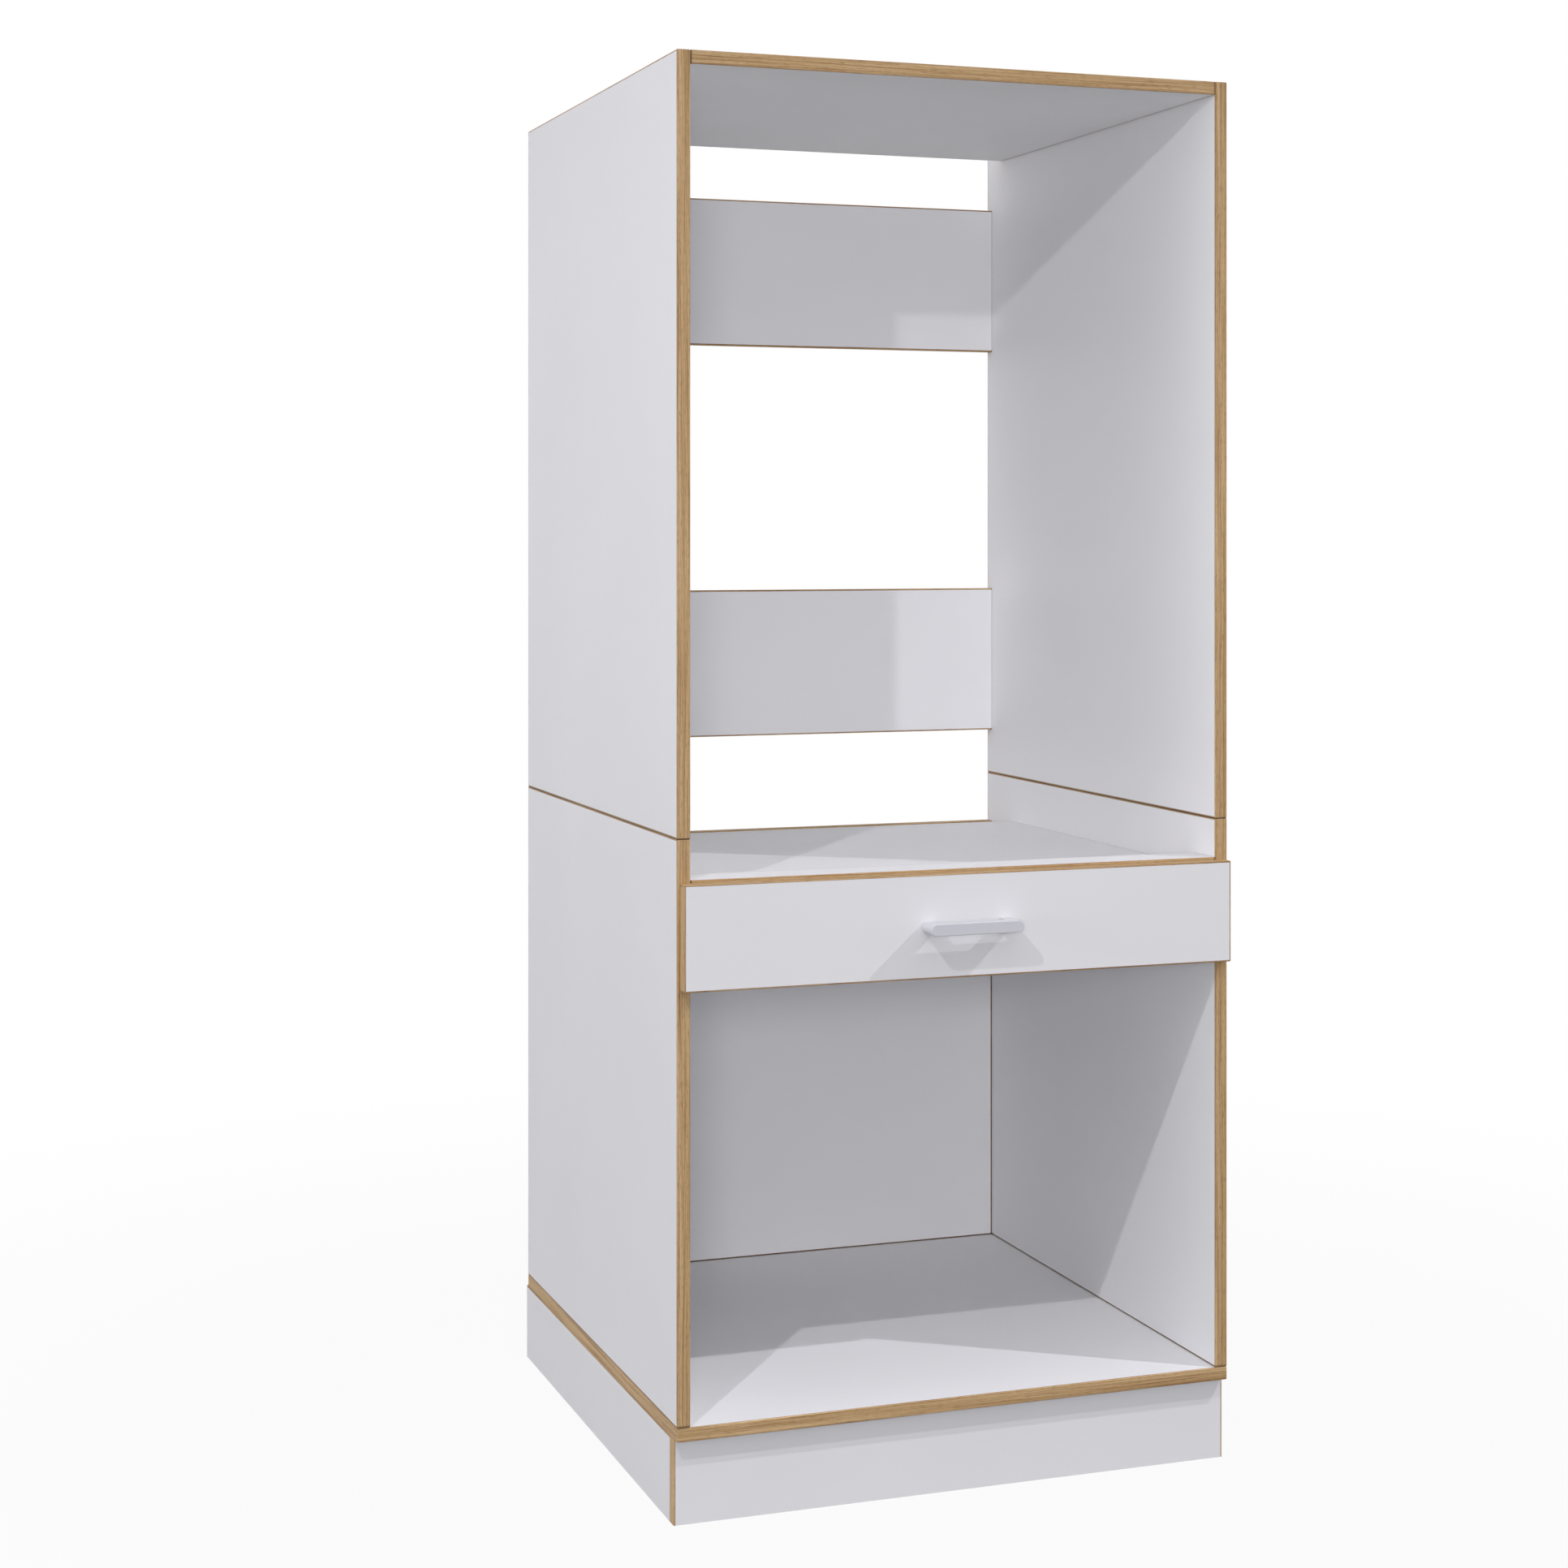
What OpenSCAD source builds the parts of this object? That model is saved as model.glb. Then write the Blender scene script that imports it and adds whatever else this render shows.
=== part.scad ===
// Washing machine cabinet: a tall, open housing of two stacked units on a plinth.
// The lower unit has an open bay, one drawer and the shelf that a washing machine stands on.
// The upper unit is an open surround of two sides, a top plate and two back rails.
// Every board has white faces and an oak edging strip on each edge that can be seen.
// X runs across the cabinet, the front faces -Y and the floor is at Z = 0.
// The origin is the middle of the overall box, on the floor.

/* [Cabinet] */
// Width over both sides
cabinet_w = 700; // [640:1:900]
// Depth of the sides and of the bottom plate
side_d = 686; // [640:1:760]
// Thickness of every cabinet board
board_t = 16; // [15:0.5:19]
// Height of the sides of the lower unit
lower_h = 667; // [560:1:760]
// Height of the sides of the upper unit
upper_h = 895; // [760:1:1100]

/* [Edging] */
// Thickness of the edging strips
edge_t = 2; // [1:0.25:3]
// Rounding of the edging strips, at most their thickness
edge_round = 1.5; // [0.5:0.25:2]
// Butt gap between two edging strips at a corner
strip_gap = 0.1; // [0.05:0.05:0.3]

/* [Plinth] */
// Height of the plinth boards
plinth_h = 98; // [70:1:150]
// Set-back of the plinth front behind the sides' front edges
plinth_set = 13; // [0:1:60]
// How far the plinth stands out behind the sides
plinth_over = 7; // [0:1:20]
// Side of the square corner blocks in the plinth
block_w = 30; // [28:1:40]
// Height of the corner blocks
block_h = 40; // [36:1:50]
// Distance of the upright block screw from both plinth boards
block_screw_in = 8; // [7:0.5:9]
// Distance of the level block screws from the block's far faces
block_side_in = 10; // [8:0.5:11]
// Depth below the plinth's top of the block screw into the side board
block_high = 12; // [10:1:15]
// Depth below the plinth's top of the block screw into the front or back board
block_low = 28; // [24:1:32]

/* [Lower unit] */
// Depth of the machine shelf's top below the top of the lower sides
shelf_drop = 63; // [20:1:120]
// Gap for hoses between the shelf and the back panel
hose_gap = 64; // [20:1:80]
// Depth of the back panel's top below the shelf's top
back_drop = 6; // [0:1:14]
// Depth of the stop strip on the front of the shelf
strip_d = 56; // [40:1:90]

/* [Upper unit] */
// How much shallower the top plate is than the sides
top_short = 50; // [20:1:80]
// Height of the two back rails
rail_h = 204; // [120:1:260]
// Depth of the upper rail's top below the cabinet's top
upper_rail_drop = 83; // [40:1:160]
// Height of the lower rail above the joint between the units
lower_rail_rise = 62.5; // [20:0.5:110]

/* [Drawer] */
// Height of the drawer front
front_h = 122; // [117:1:160]
// Reveal of the cabinet beside the drawer front, each side
front_reveal = 3.4; // [0:0.1:8]
// Height of the stop strip that shows above the drawer front
strip_show = 3; // [1:0.5:12]
// Gap between the sides' front edges and the back of the drawer front
front_gap = 0.3; // [0.3:0.1:3]
// Height of the drawer box
box_h = 80; // [66:1:85]
// Gap between the drawer box and the shelf
box_top_gap = 8; // [4:0.5:12]
// Thickness of the drawer box boards
box_t = 12; // [10:0.5:16]
// Thickness of the drawer bottom
bottom_t = 4; // [3:0.5:6]
// Height of the drawer bottom above the lower edge of the box
bottom_rise = 8; // [6:0.5:10]
// Depth of the groove that holds the drawer bottom
groove_d = 6; // [4:0.5:7]
// Play of the drawer bottom in its groove, each way
groove_play = 0.2; // [0.1:0.05:0.4]

/* [Handle] */
// Length of the handle
handle_w = 117; // [90:1:220]
// Height of the handle
handle_h = 14; // [11:0.5:20]
// Projection of the handle from the drawer front
handle_out = 32; // [26:1:45]
// Depth of the handle's grip bar
handle_bar_d = 12; // [8:0.5:16]
// Length of each handle leg
handle_leg_w = 18; // [16:0.5:26]
// Distance of the handle screws from the ends of the handle
handle_hole_in = 10.5; // [8:0.5:12]
// Rounding of the front rim of the handle
handle_rim = 1; // [0.5:0.25:2]
// Rounding inside the grip, where the bar meets the legs
handle_inner_r = 3; // [1:0.5:6]
// Thread length of the handle screws in the handle
handle_thread = 10; // [6:0.5:14]

/* [Drawer runners] */
// Length of the runners
runner_len = 500; // [400:10:560]
// Set-back of the runners behind the sides' front edges
runner_set = 3; // [1:0.5:10]
// Height of the runners
runner_h = 45; // [42:0.5:48]
// Width of the runners, between the side and the drawer box
runner_w = 12.7; // [12.7:0.1:14]
// Reach of the runner flanges from the cabinet side
runner_flange = 9.7; // [9:0.1:11]
// Sheet thickness of the runner members
runner_sheet = 1.2; // [1:0.1:1.4]
// Inward lip at the tip of the runner flanges
runner_lip = 0.8; // [0.4:0.1:1]
// Sheet thickness of the ball cages
cage_sheet = 0.6; // [0.4:0.1:0.7]
// Running clearance between the parts of a runner
run_clear = 0.3; // [0.25:0.05:0.35]
// Radius of the runner balls
ball_r = 1.6; // [1.3:0.1:1.8]
// Number of balls in each row
ball_n = 8; // [4:1:12]
// Distance of the outer balls inside the tips of the flanges
outer_ball_in = 3.5; // [3:0.1:4]
// Distance of the inner balls inside the tips of the flanges
inner_ball_in = 2.4; // [2.3:0.1:2.8]
// Cage sheet beyond the middle of the balls
cage_lip = 2.2; // [1.9:0.1:2.4]
// Spare length at each end of a cage with the drawer fully open
cage_end = 5; // [2:0.5:20]
// Distance of the last ball from the end of its cage
ball_end = 8; // [4:0.5:20]
// Distance of the outer cabinet screws from the runner ends
runner_screw_in = 35; // [20:1:60]
// Distance of the outer drawer screws from the runner ends
member_screw_in = 62; // [50:1:90]
// Radius of the access holes in the middle members
access_r = 4.5; // [3.8:0.1:6]

/* [Joints] */
// Radius of the cam housings
cam_r = 7.5; // [7:0.25:8]
// Distance of the cam housings from the end of their board
cam_in = 24; // [20:0.5:34]
// Depth of the cam housing below the middle of its board
cam_below = 4.5; // [4.2:0.1:5.5]
// Sinking of the cam housings below the face of their board
cam_sink = 0.2; // [0.1:0.1:1]
// Width of the cross slot in the cam housings
slot_w = 1.2; // [0.8:0.1:2]
// Depth of the cross slot in the cam housings
slot_d = 2; // [1:0.1:2.4]
// Distance of the cam joints from the edges of their board
cam_edge = 60; // [50:1:80]
// Distance of the dowels from the edges of their board
dowel_edge = 110; // [95:1:150]
// Distance of the rail dowels from the edges of the rails
rail_dowel_in = 30; // [15:1:45]
// Radius of the cam bolt's shaft
bolt_r = 3; // [2.5:0.1:3.3]
// Height of the cam bolt's head over its shaft
bolt_head_over = 0.4; // [0.2:0.1:0.5]
// Depth of the cam bolt's neck under its shaft
bolt_neck_in = 1; // [0.5:0.1:1.4]
// Length of the cam bolt's head
bolt_head = 4; // [3:0.25:4.5]
// Radial play of the cam bolt's head in its housing
head_play = 0.3; // [0.1:0.05:0.4]
// Radial play of the cam bolt's shaft in its board
shaft_play = 1; // [0.4:0.1:1.2]
// Radius of the cam bolt's thread
bolt_thread_r = 2.5; // [2:0.1:2.9]
// Length of the cam bolt's thread in the side
bolt_thread = 11; // [8:0.5:12]
// Radius of the dowels
dowel_r = 4; // [3:0.25:4.5]
// Length of a dowel in the side or plate that it stands in
dowel_short = 10; // [7:0.5:12]
// Length of a dowel in the end of the other board
dowel_long = 20; // [14:0.5:26]
// Spare depth at the end of a drilled hole
drill_spare = 0.5; // [0.2:0.1:1]
// Radial clearance of fasteners in their holes
hole_fit = 0.05; // [0.02:0.01:0.1]

/* [Screws] */
// Radius of the long board screws
long_screw_r = 2.5; // [2:0.1:2.9]
// Length of the long board screws
long_screw = 50; // [44:1:52]
// Distance of the back panel's base screws from the sides
back_screw_in = 134; // [80:1:200]
// Radius of the short screws
short_screw_r = 2; // [1.6:0.1:2.3]
// Bite of the short screws in the board that they end in
short_bite = 10; // [7:0.5:11]
// Distance of the stop strip's outer screws from the sides
strip_screw_in = 60; // [40:1:120]
// Radius of the runner screws
runner_screw_r = 1.75; // [1.5:0.05:2]
// Bite of the runner screws in the cabinet sides
runner_bite = 11; // [8:0.5:13]
// Bite of the runner screws in the drawer sides
member_bite = 8; // [6:0.5:9]
// Head radius of a screw, as a multiple of its shank radius
head_ratio = 2; // [1.7:0.05:2.1]
// Height of the raised screw heads
pan_h = 2; // [1.5:0.1:2.4]
// Length of the screw points
screw_tip = 3; // [1:0.5:4]
// Height of the lower drawer box screws above the box's lower edge
box_screw_low = 19; // [17:0.5:21]
// Depth of the upper drawer box screws below the box's upper edge
box_screw_high = 10; // [6:0.5:12]
// Distance of the drawer front screws from the middle
front_screw_x = 240; // [100:1:270]

/* [Hidden] */
$fn = 48;

// Overrun of every cut past the face that it opens
over = 1;
// Radius that is left at a screw's point
tip_r = 0.4;
// Narrowing of a raised screw head towards its top
dome_in = 0.6;

// Plan sizes
half_w = cabinet_w / 2;
inner_w = cabinet_w - 2 * board_t;
arris_r = min(edge_round, edge_t);
handle_reach = front_gap + board_t + handle_out;
plinth_back_d = side_d + plinth_over;
plinth_d = plinth_back_d - plinth_set;
shelf_d = side_d - board_t - hose_gap;
top_d = side_d - top_short;

// Y of the sides' front edges, with the origin in the middle of the overall depth
fy = (handle_reach - plinth_back_d) / 2;
back_y = fy + side_d;
rear_mid_y = back_y - board_t / 2;

// Heights from the floor
base_z = plinth_h;
bay_z = base_z + board_t;
unit_z = bay_z + lower_h;
top_z = unit_z + upper_h;
shelf_top_z = unit_z - shelf_drop;
shelf_z = shelf_top_z - board_t;
back_h = shelf_top_z - back_drop - bay_z;
upper_rail_z = top_z - upper_rail_drop - rail_h;
lower_rail_z = unit_z + lower_rail_rise;

// Drawer
front_w = cabinet_w - 2 * front_reveal;
front_top_z = shelf_top_z + board_t - strip_show;
front_z = front_top_z - front_h;
front_back_y = fy - front_gap;
front_face_y = front_back_y - board_t;
handle_z = front_z + front_h / 2;
box_w = inner_w - 2 * runner_w;
box_in_w = box_w - 2 * box_t;
box_d = front_gap + runner_set + runner_len;
box_z = shelf_z - box_top_gap - box_h;
box_front_in_y = front_back_y + box_t;
box_back_y = front_back_y + box_d;
box_back_in_y = box_back_y - box_t;
bottom_z = box_z + bottom_rise;
box_screw_zs = [box_z + box_screw_low, box_z + box_h - box_screw_high];
handle_hole_x = handle_w / 2 - handle_hole_in;

// Runner section: u is measured from the side's inner face and v from the middle height
runner_z = box_z + box_h / 2;
runner_y = fy + runner_set;
web_pitch = runner_sheet + run_clear;
outer_cage_u = web_pitch;
middle_u = outer_cage_u + cage_sheet + run_clear;
inner_cage_u = middle_u + web_pitch;
member_u = inner_cage_u + cage_sheet + run_clear;
cabinet_v = runner_h / 2;
outer_ball_v = cabinet_v - runner_sheet - run_clear - ball_r;
middle_v = outer_ball_v - ball_r - run_clear;
inner_ball_v = middle_v - runner_sheet - run_clear - ball_r;
member_v = inner_ball_v - ball_r - run_clear;
outer_ball_u = runner_flange - outer_ball_in;
inner_ball_u = runner_flange - inner_ball_in;
// The cages run half as far as the members that they lie between
cage_len = runner_len / 2 - 2 * cage_end;
cage_y = runner_y + (runner_len - cage_len) / 2;
ball_pitch = (cage_len - 2 * ball_end) / (ball_n - 1);

// Cam housings, bolts and dowels
cam_depth = board_t / 2 + cam_below;
bolt_head_r = bolt_r + bolt_head_over;
bolt_neck_r = bolt_r - bolt_neck_in;
cam_bore_r = bolt_head_r + head_play;
end_bore_r = bolt_r + shaft_play;

// Cam joints at the left ends of the boards between the sides: y, z and the turn of the open face
shelf_cams = [for (v = [cam_edge, shelf_d - cam_edge]) [fy + v, shelf_z + board_t / 2, 180]];
top_cams = [for (v = [cam_edge, top_d - cam_edge]) [fy + v, top_z - board_t / 2, 0]];
back_cams = [for (v = [cam_edge, back_h - cam_edge]) [rear_mid_y, bay_z + v, -90]];
upper_rail_cams = [[rear_mid_y, upper_rail_z + rail_h / 2, -90]];
lower_rail_cams = [[rear_mid_y, lower_rail_z + rail_h / 2, -90]];
// Dowels at the left ends of the same boards: y and z
shelf_dowels = [for (v = [dowel_edge, shelf_d - dowel_edge]) [fy + v, shelf_z + board_t / 2]];
top_dowels = [for (v = [dowel_edge, top_d - dowel_edge]) [fy + v, top_z - board_t / 2]];
back_dowels = [for (v = [dowel_edge, back_h - dowel_edge]) [rear_mid_y, bay_z + v]];
rail_dowel_steps = [rail_dowel_in, rail_h - rail_dowel_in];
upper_rail_dowels = [for (v = rail_dowel_steps) [rear_mid_y, upper_rail_z + v]];
lower_rail_dowels = [for (v = rail_dowel_steps) [rear_mid_y, lower_rail_z + v]];
// Upright dowels and base screws in the left side: distance behind the front
side_dowel_steps = [dowel_edge, side_d / 2, side_d - dowel_edge];
base_dowel_steps = [dowel_edge, side_d - dowel_edge];
base_screw_steps = [cam_edge, side_d / 2, side_d - cam_edge];
left_mid_x = -half_w + board_t / 2;

// Edges that carry a strip: the two ends and then the two long edges
all_edges = [true, true, true, true];
long_edges = [false, false, true, true];

// Faces
white = [0.93, 0.93, 0.94];
oak = [0.78, 0.65, 0.47];
steel = [0.74, 0.75, 0.77];
zinc = [0.62, 0.63, 0.65];
beech = [0.82, 0.68, 0.48];
box_white = [0.90, 0.90, 0.91];

// Boards

// Rounded end of a board's section, around the line at run
module section_end(run) {
    for (z = [arris_r, board_t - arris_r]) {
        translate([run, z]) circle(arris_r);
    }
    translate([run - arris_r, arris_r]) square([2 * arris_r, board_t - 2 * arris_r]);
}

// Section across a board, run long and one board thick, with its banded ends rounded
module board_section(run, low, high) {
    a = low ? arris_r : 0;
    b = high ? arris_r : 0;
    translate([a, 0]) square([run - a - b, board_t]);
    if (low) section_end(arris_r);
    if (high) section_end(run - arris_r);
}

// Outer shape of a board: run along X, breadth along Y and its thickness up
// Bands tell which edges have edging: low X, high X, low Y and high Y
module board_outer(run, breadth, bands) {
    intersection() {
        translate([0, breadth, 0])
            rotate([90, 0, 0])
                linear_extrude(breadth) board_section(run, bands[0], bands[1]);
        rotate([90, 0, 90])
            linear_extrude(run) board_section(breadth, bands[2], bands[3]);
    }
}

// White board inside its edging
module board_core(run, breadth, bands) {
    x0 = bands[0] ? edge_t : 0;
    x1 = bands[1] ? edge_t : 0;
    y0 = bands[2] ? edge_t : 0;
    y1 = bands[3] ? edge_t : 0;
    translate([x0, y0, 0]) cube([run - x0 - x1, breadth - y0 - y1, board_t]);
}

// Box that holds one edging strip, from low to high in X and Y
module strip_box(low, high) {
    translate([low[0], low[1], -over]) cube([high[0] - low[0], high[1] - low[1], board_t + 2 * over]);
}

// Edging strips of a board; with ends_run the strips at the X ends run through the corners
module board_edging(run, breadth, bands, ends_run = false) {
    inset = edge_t + strip_gap;
    x0 = bands[0] && ends_run ? inset : -over;
    x1 = bands[1] && ends_run ? run - inset : run + over;
    y0 = bands[2] && !ends_run ? inset : -over;
    y1 = bands[3] && !ends_run ? breadth - inset : breadth + over;
    intersection() {
        board_outer(run, breadth, bands);
        union() {
            if (bands[0]) strip_box([-over, y0], [edge_t, y1]);
            if (bands[1]) strip_box([run - edge_t, y0], [run + over, y1]);
            if (bands[2]) strip_box([x0, -over], [x1, edge_t]);
            if (bands[3]) strip_box([x0, breadth - edge_t], [x1, breadth + over]);
        }
    }
}

// Stands a board up as the left side: X becomes height, Y stays depth
module as_left_side(z) {
    translate([-half_w + board_t, fy, z]) rotate([0, -90, 0]) children();
}

// Stands a board up across the cabinet: X stays width, Y becomes height, front face at y
module as_upright(x, y, z) {
    translate([x, y + board_t, z]) rotate([90, 0, 0]) children();
}

// Stands a board up along the left: X becomes depth, Y becomes height
module as_left_plinth(y) {
    translate([-half_w, y, 0]) rotate([90, 0, 90]) children();
}

module mirrored() {
    mirror([1, 0, 0]) children();
}

// The same thing at the left and at the right
module both() {
    children();
    mirrored() children();
}

// Fasteners

// Countersunk screw along +Z, its head flush with Z = 0; grow opens it into its hole
module flush_screw(r, length, grow = 0) {
    head_r = head_ratio * r;
    cone_h = head_r - r;
    tip = grow > 0 ? 0 : screw_tip;
    cylinder(r1 = head_r + grow, r2 = r + grow, h = cone_h);
    cylinder(r = r + grow, h = length - tip + (grow > 0 ? drill_spare : 0));
    if (tip > 0) translate([0, 0, length - tip]) cylinder(r1 = r, r2 = tip_r, h = tip);
    if (grow > 0) translate([0, 0, -over]) cylinder(r = head_r + grow, h = over);
}

// Screw along +Z with a raised head below Z = 0
module pan_screw(r, length, blunt = false) {
    tip = blunt ? 0 : screw_tip;
    head_r = head_ratio * r;
    translate([0, 0, -pan_h]) cylinder(r1 = head_r - dome_in, r2 = head_r, h = pan_h);
    cylinder(r = r, h = length - tip);
    if (!blunt) translate([0, 0, length - tip]) cylinder(r1 = r, r2 = tip_r, h = tip);
}

// Hole for a raised-head screw
module pan_hole(r, length) {
    translate([0, 0, -over]) cylinder(r = r + hole_fit, h = length + over + drill_spare);
}

// Dowel along +X through the joint at X = 0
module dowel(grow = 0, spare = 0) {
    translate([-dowel_short - spare, 0, 0])
        rotate([0, 90, 0])
            cylinder(r = dowel_r + grow, h = dowel_short + dowel_long + 2 * spare);
}

// Cam bolt along +X: its thread is in the side, its head in the housing
module cam_bolt() {
    shaft = cam_in - cam_r - over;
    translate([-bolt_thread, 0, 0]) rotate([0, 90, 0]) cylinder(r = bolt_thread_r, h = bolt_thread);
    rotate([0, 90, 0]) cylinder(r = bolt_r, h = shaft);
    rotate([0, 90, 0]) cylinder(r = bolt_neck_r, h = cam_in);
    translate([cam_in - bolt_head / 2, 0, 0]) rotate([0, 90, 0]) cylinder(r = bolt_head_r, h = bolt_head);
}

// Cam housing around Z, open at +Z, with the bolt coming from -X
module cam_housing() {
    face = board_t / 2 - cam_sink;
    difference() {
        translate([0, 0, -cam_below]) cylinder(r = cam_r, h = face + cam_below);
        translate([-cam_r - over, 0, 0])
            rotate([0, 90, 0]) cylinder(r = cam_bore_r, h = cam_r + over + bolt_head);
        for (turn = [0, 90]) {
            rotate([0, 0, turn])
                translate([-cam_r / 2, -slot_w / 2, face - slot_d]) cube([cam_r, slot_w, slot_d + over]);
        }
    }
}

// Holes of one cam joint: thread hole in the side, bolt bore and housing pocket in the board
module cam_holes() {
    translate([-bolt_thread - drill_spare, 0, 0])
        rotate([0, 90, 0]) cylinder(r = bolt_thread_r + hole_fit, h = bolt_thread + drill_spare + over);
    rotate([0, 90, 0]) cylinder(r = end_bore_r, h = cam_in);
    translate([cam_in, 0, board_t / 2 - cam_depth - drill_spare])
        cylinder(r = cam_r + hole_fit, h = cam_depth + drill_spare + over);
}

// Holes of the cams and dowels at the left ends of a board between the sides
module left_end_holes(cams, pegs) {
    for (c = cams) {
        translate([-inner_w / 2, c[0], c[1]]) rotate([c[2], 0, 0]) cam_holes();
    }
    for (p = pegs) {
        translate([-inner_w / 2, p[0], p[1]]) dowel(hole_fit, drill_spare);
    }
}

// Upright dowel at the left side, through the joint at height z, long end up
module upright_dowel(y, z, grow = 0, spare = 0) {
    translate([left_mid_x, y, z]) rotate([0, -90, 0]) dowel(grow, spare);
}

module unit_dowels(grow = 0, spare = 0) {
    for (v = side_dowel_steps) upright_dowel(fy + v, unit_z, grow, spare);
}

module base_dowels(grow = 0, spare = 0) {
    for (v = base_dowel_steps) upright_dowel(fy + v, bay_z, grow, spare);
}

// Long screws up through the bottom plate into the left side and the back panel
module base_screws(grow = 0) {
    for (v = base_screw_steps) {
        translate([left_mid_x, fy + v, base_z]) flush_screw(long_screw_r, long_screw, grow);
    }
    translate([-inner_w / 2 + back_screw_in, rear_mid_y, base_z])
        flush_screw(long_screw_r, long_screw, grow);
}

// Short screws up through the shelf into the stop strip
module strip_screws(grow = 0) {
    for (x = [-inner_w / 2 + strip_screw_in, 0, inner_w / 2 - strip_screw_in]) {
        translate([x, fy + strip_d / 2, shelf_z])
            flush_screw(short_screw_r, board_t + short_bite, grow);
    }
}

// Puts its children in each inner corner of the plinth, X and Y pointing inwards
module plinth_corners() {
    for (sy = [1, -1]) {
        y = sy > 0 ? fy + plinth_set + board_t : fy + plinth_back_d - board_t;
        both() translate([-inner_w / 2, y, 0]) mirror([0, sy > 0 ? 0 : 1, 0]) children();
    }
}

module block_screws(grow = 0) {
    side_length = block_w + short_bite;
    translate([block_screw_in, block_screw_in, base_z - block_h])
        flush_screw(long_screw_r, block_h + short_bite, grow);
    translate([block_w - block_side_in, block_w, base_z - block_low])
        rotate([90, 0, 0]) flush_screw(short_screw_r, side_length, grow);
    translate([block_w, block_w - block_side_in, base_z - block_high])
        rotate([0, -90, 0]) flush_screw(short_screw_r, side_length, grow);
}

module plinth_screw_holes() {
    plinth_corners() block_screws(hole_fit);
}

// Plinth

front_plinth_bands = [true, true, false, true];
left_plinth_bands = [false, true, false, true];
back_plinth_bands = [false, false, false, true];
left_plinth_run = plinth_d - board_t;

module plinth_front() {
    color(white) difference() {
        as_upright(-half_w, fy + plinth_set, 0) board_core(cabinet_w, plinth_h, front_plinth_bands);
        plinth_screw_holes();
    }
}

module plinth_front_edging() {
    color(oak)
        as_upright(-half_w, fy + plinth_set, 0)
            board_edging(cabinet_w, plinth_h, front_plinth_bands, true);
}

module plinth_left() {
    color(white) difference() {
        as_left_plinth(fy + plinth_set + board_t)
            board_core(left_plinth_run, plinth_h, left_plinth_bands);
        plinth_screw_holes();
    }
}

module plinth_left_edging() {
    color(oak)
        as_left_plinth(fy + plinth_set + board_t)
            board_edging(left_plinth_run, plinth_h, left_plinth_bands, true);
}

module plinth_right() {
    mirrored() plinth_left();
}

module plinth_right_edging() {
    mirrored() plinth_left_edging();
}

module plinth_back() {
    color(white) difference() {
        as_upright(-inner_w / 2, fy + plinth_back_d - board_t, 0)
            board_core(inner_w, plinth_h, back_plinth_bands);
        plinth_screw_holes();
    }
}

module plinth_back_edging() {
    color(oak)
        as_upright(-inner_w / 2, fy + plinth_back_d - board_t, 0)
            board_edging(inner_w, plinth_h, back_plinth_bands);
}

module plinth_corner_blocks() {
    color(beech) plinth_corners() difference() {
        translate([0, 0, base_z - block_h]) cube([block_w, block_w, block_h]);
        block_screws(hole_fit);
    }
}

module plinth_block_screws() {
    color(zinc) plinth_corners() block_screws();
}

// Lower unit

module bottom_plate() {
    color(white) difference() {
        translate([-half_w, fy, base_z]) board_core(cabinet_w, side_d, all_edges);
        both() {
            base_dowels(hole_fit, drill_spare);
            base_screws(hole_fit);
        }
        plinth_screw_holes();
    }
}

module bottom_plate_edging() {
    color(oak) translate([-half_w, fy, base_z]) board_edging(cabinet_w, side_d, all_edges);
}

// All the holes in the lower left side and its edging
module lower_side_holes() {
    left_end_holes(shelf_cams, shelf_dowels);
    left_end_holes(back_cams, back_dowels);
    base_dowels(hole_fit, drill_spare);
    base_screws(hole_fit);
    unit_dowels(hole_fit, drill_spare);
    cabinet_screws(hole_fit);
}

module lower_left_side() {
    color(white) difference() {
        as_left_side(bay_z) board_core(lower_h, side_d, all_edges);
        lower_side_holes();
    }
}

module lower_left_edging() {
    color(oak) difference() {
        as_left_side(bay_z) board_edging(lower_h, side_d, all_edges);
        lower_side_holes();
    }
}

module lower_right_side() {
    mirrored() lower_left_side();
}

module lower_right_edging() {
    mirrored() lower_left_edging();
}

module lower_back_holes() {
    both() {
        left_end_holes(back_cams, back_dowels);
        base_screws(hole_fit);
    }
}

module lower_back_panel() {
    color(white) difference() {
        as_upright(-inner_w / 2, back_y - board_t, bay_z) board_core(inner_w, back_h, all_edges);
        lower_back_holes();
    }
}

module lower_back_edging() {
    color(oak) difference() {
        as_upright(-inner_w / 2, back_y - board_t, bay_z) board_edging(inner_w, back_h, all_edges);
        lower_back_holes();
    }
}

module machine_shelf() {
    color(white) difference() {
        translate([-inner_w / 2, fy, shelf_z]) board_core(inner_w, shelf_d, long_edges);
        both() left_end_holes(shelf_cams, shelf_dowels);
        strip_screws(hole_fit);
    }
}

module machine_shelf_edging() {
    color(oak) translate([-inner_w / 2, fy, shelf_z]) board_edging(inner_w, shelf_d, long_edges);
}

module stop_strip() {
    color(white) difference() {
        translate([-inner_w / 2, fy, shelf_top_z]) board_core(inner_w, strip_d, long_edges);
        strip_screws(hole_fit);
    }
}

module stop_strip_edging() {
    color(oak) translate([-inner_w / 2, fy, shelf_top_z]) board_edging(inner_w, strip_d, long_edges);
}

// Upper unit

module upper_side_holes() {
    left_end_holes(top_cams, top_dowels);
    left_end_holes(upper_rail_cams, upper_rail_dowels);
    left_end_holes(lower_rail_cams, lower_rail_dowels);
    unit_dowels(hole_fit, drill_spare);
}

module upper_left_side() {
    color(white) difference() {
        as_left_side(unit_z) board_core(upper_h, side_d, all_edges);
        upper_side_holes();
    }
}

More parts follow.
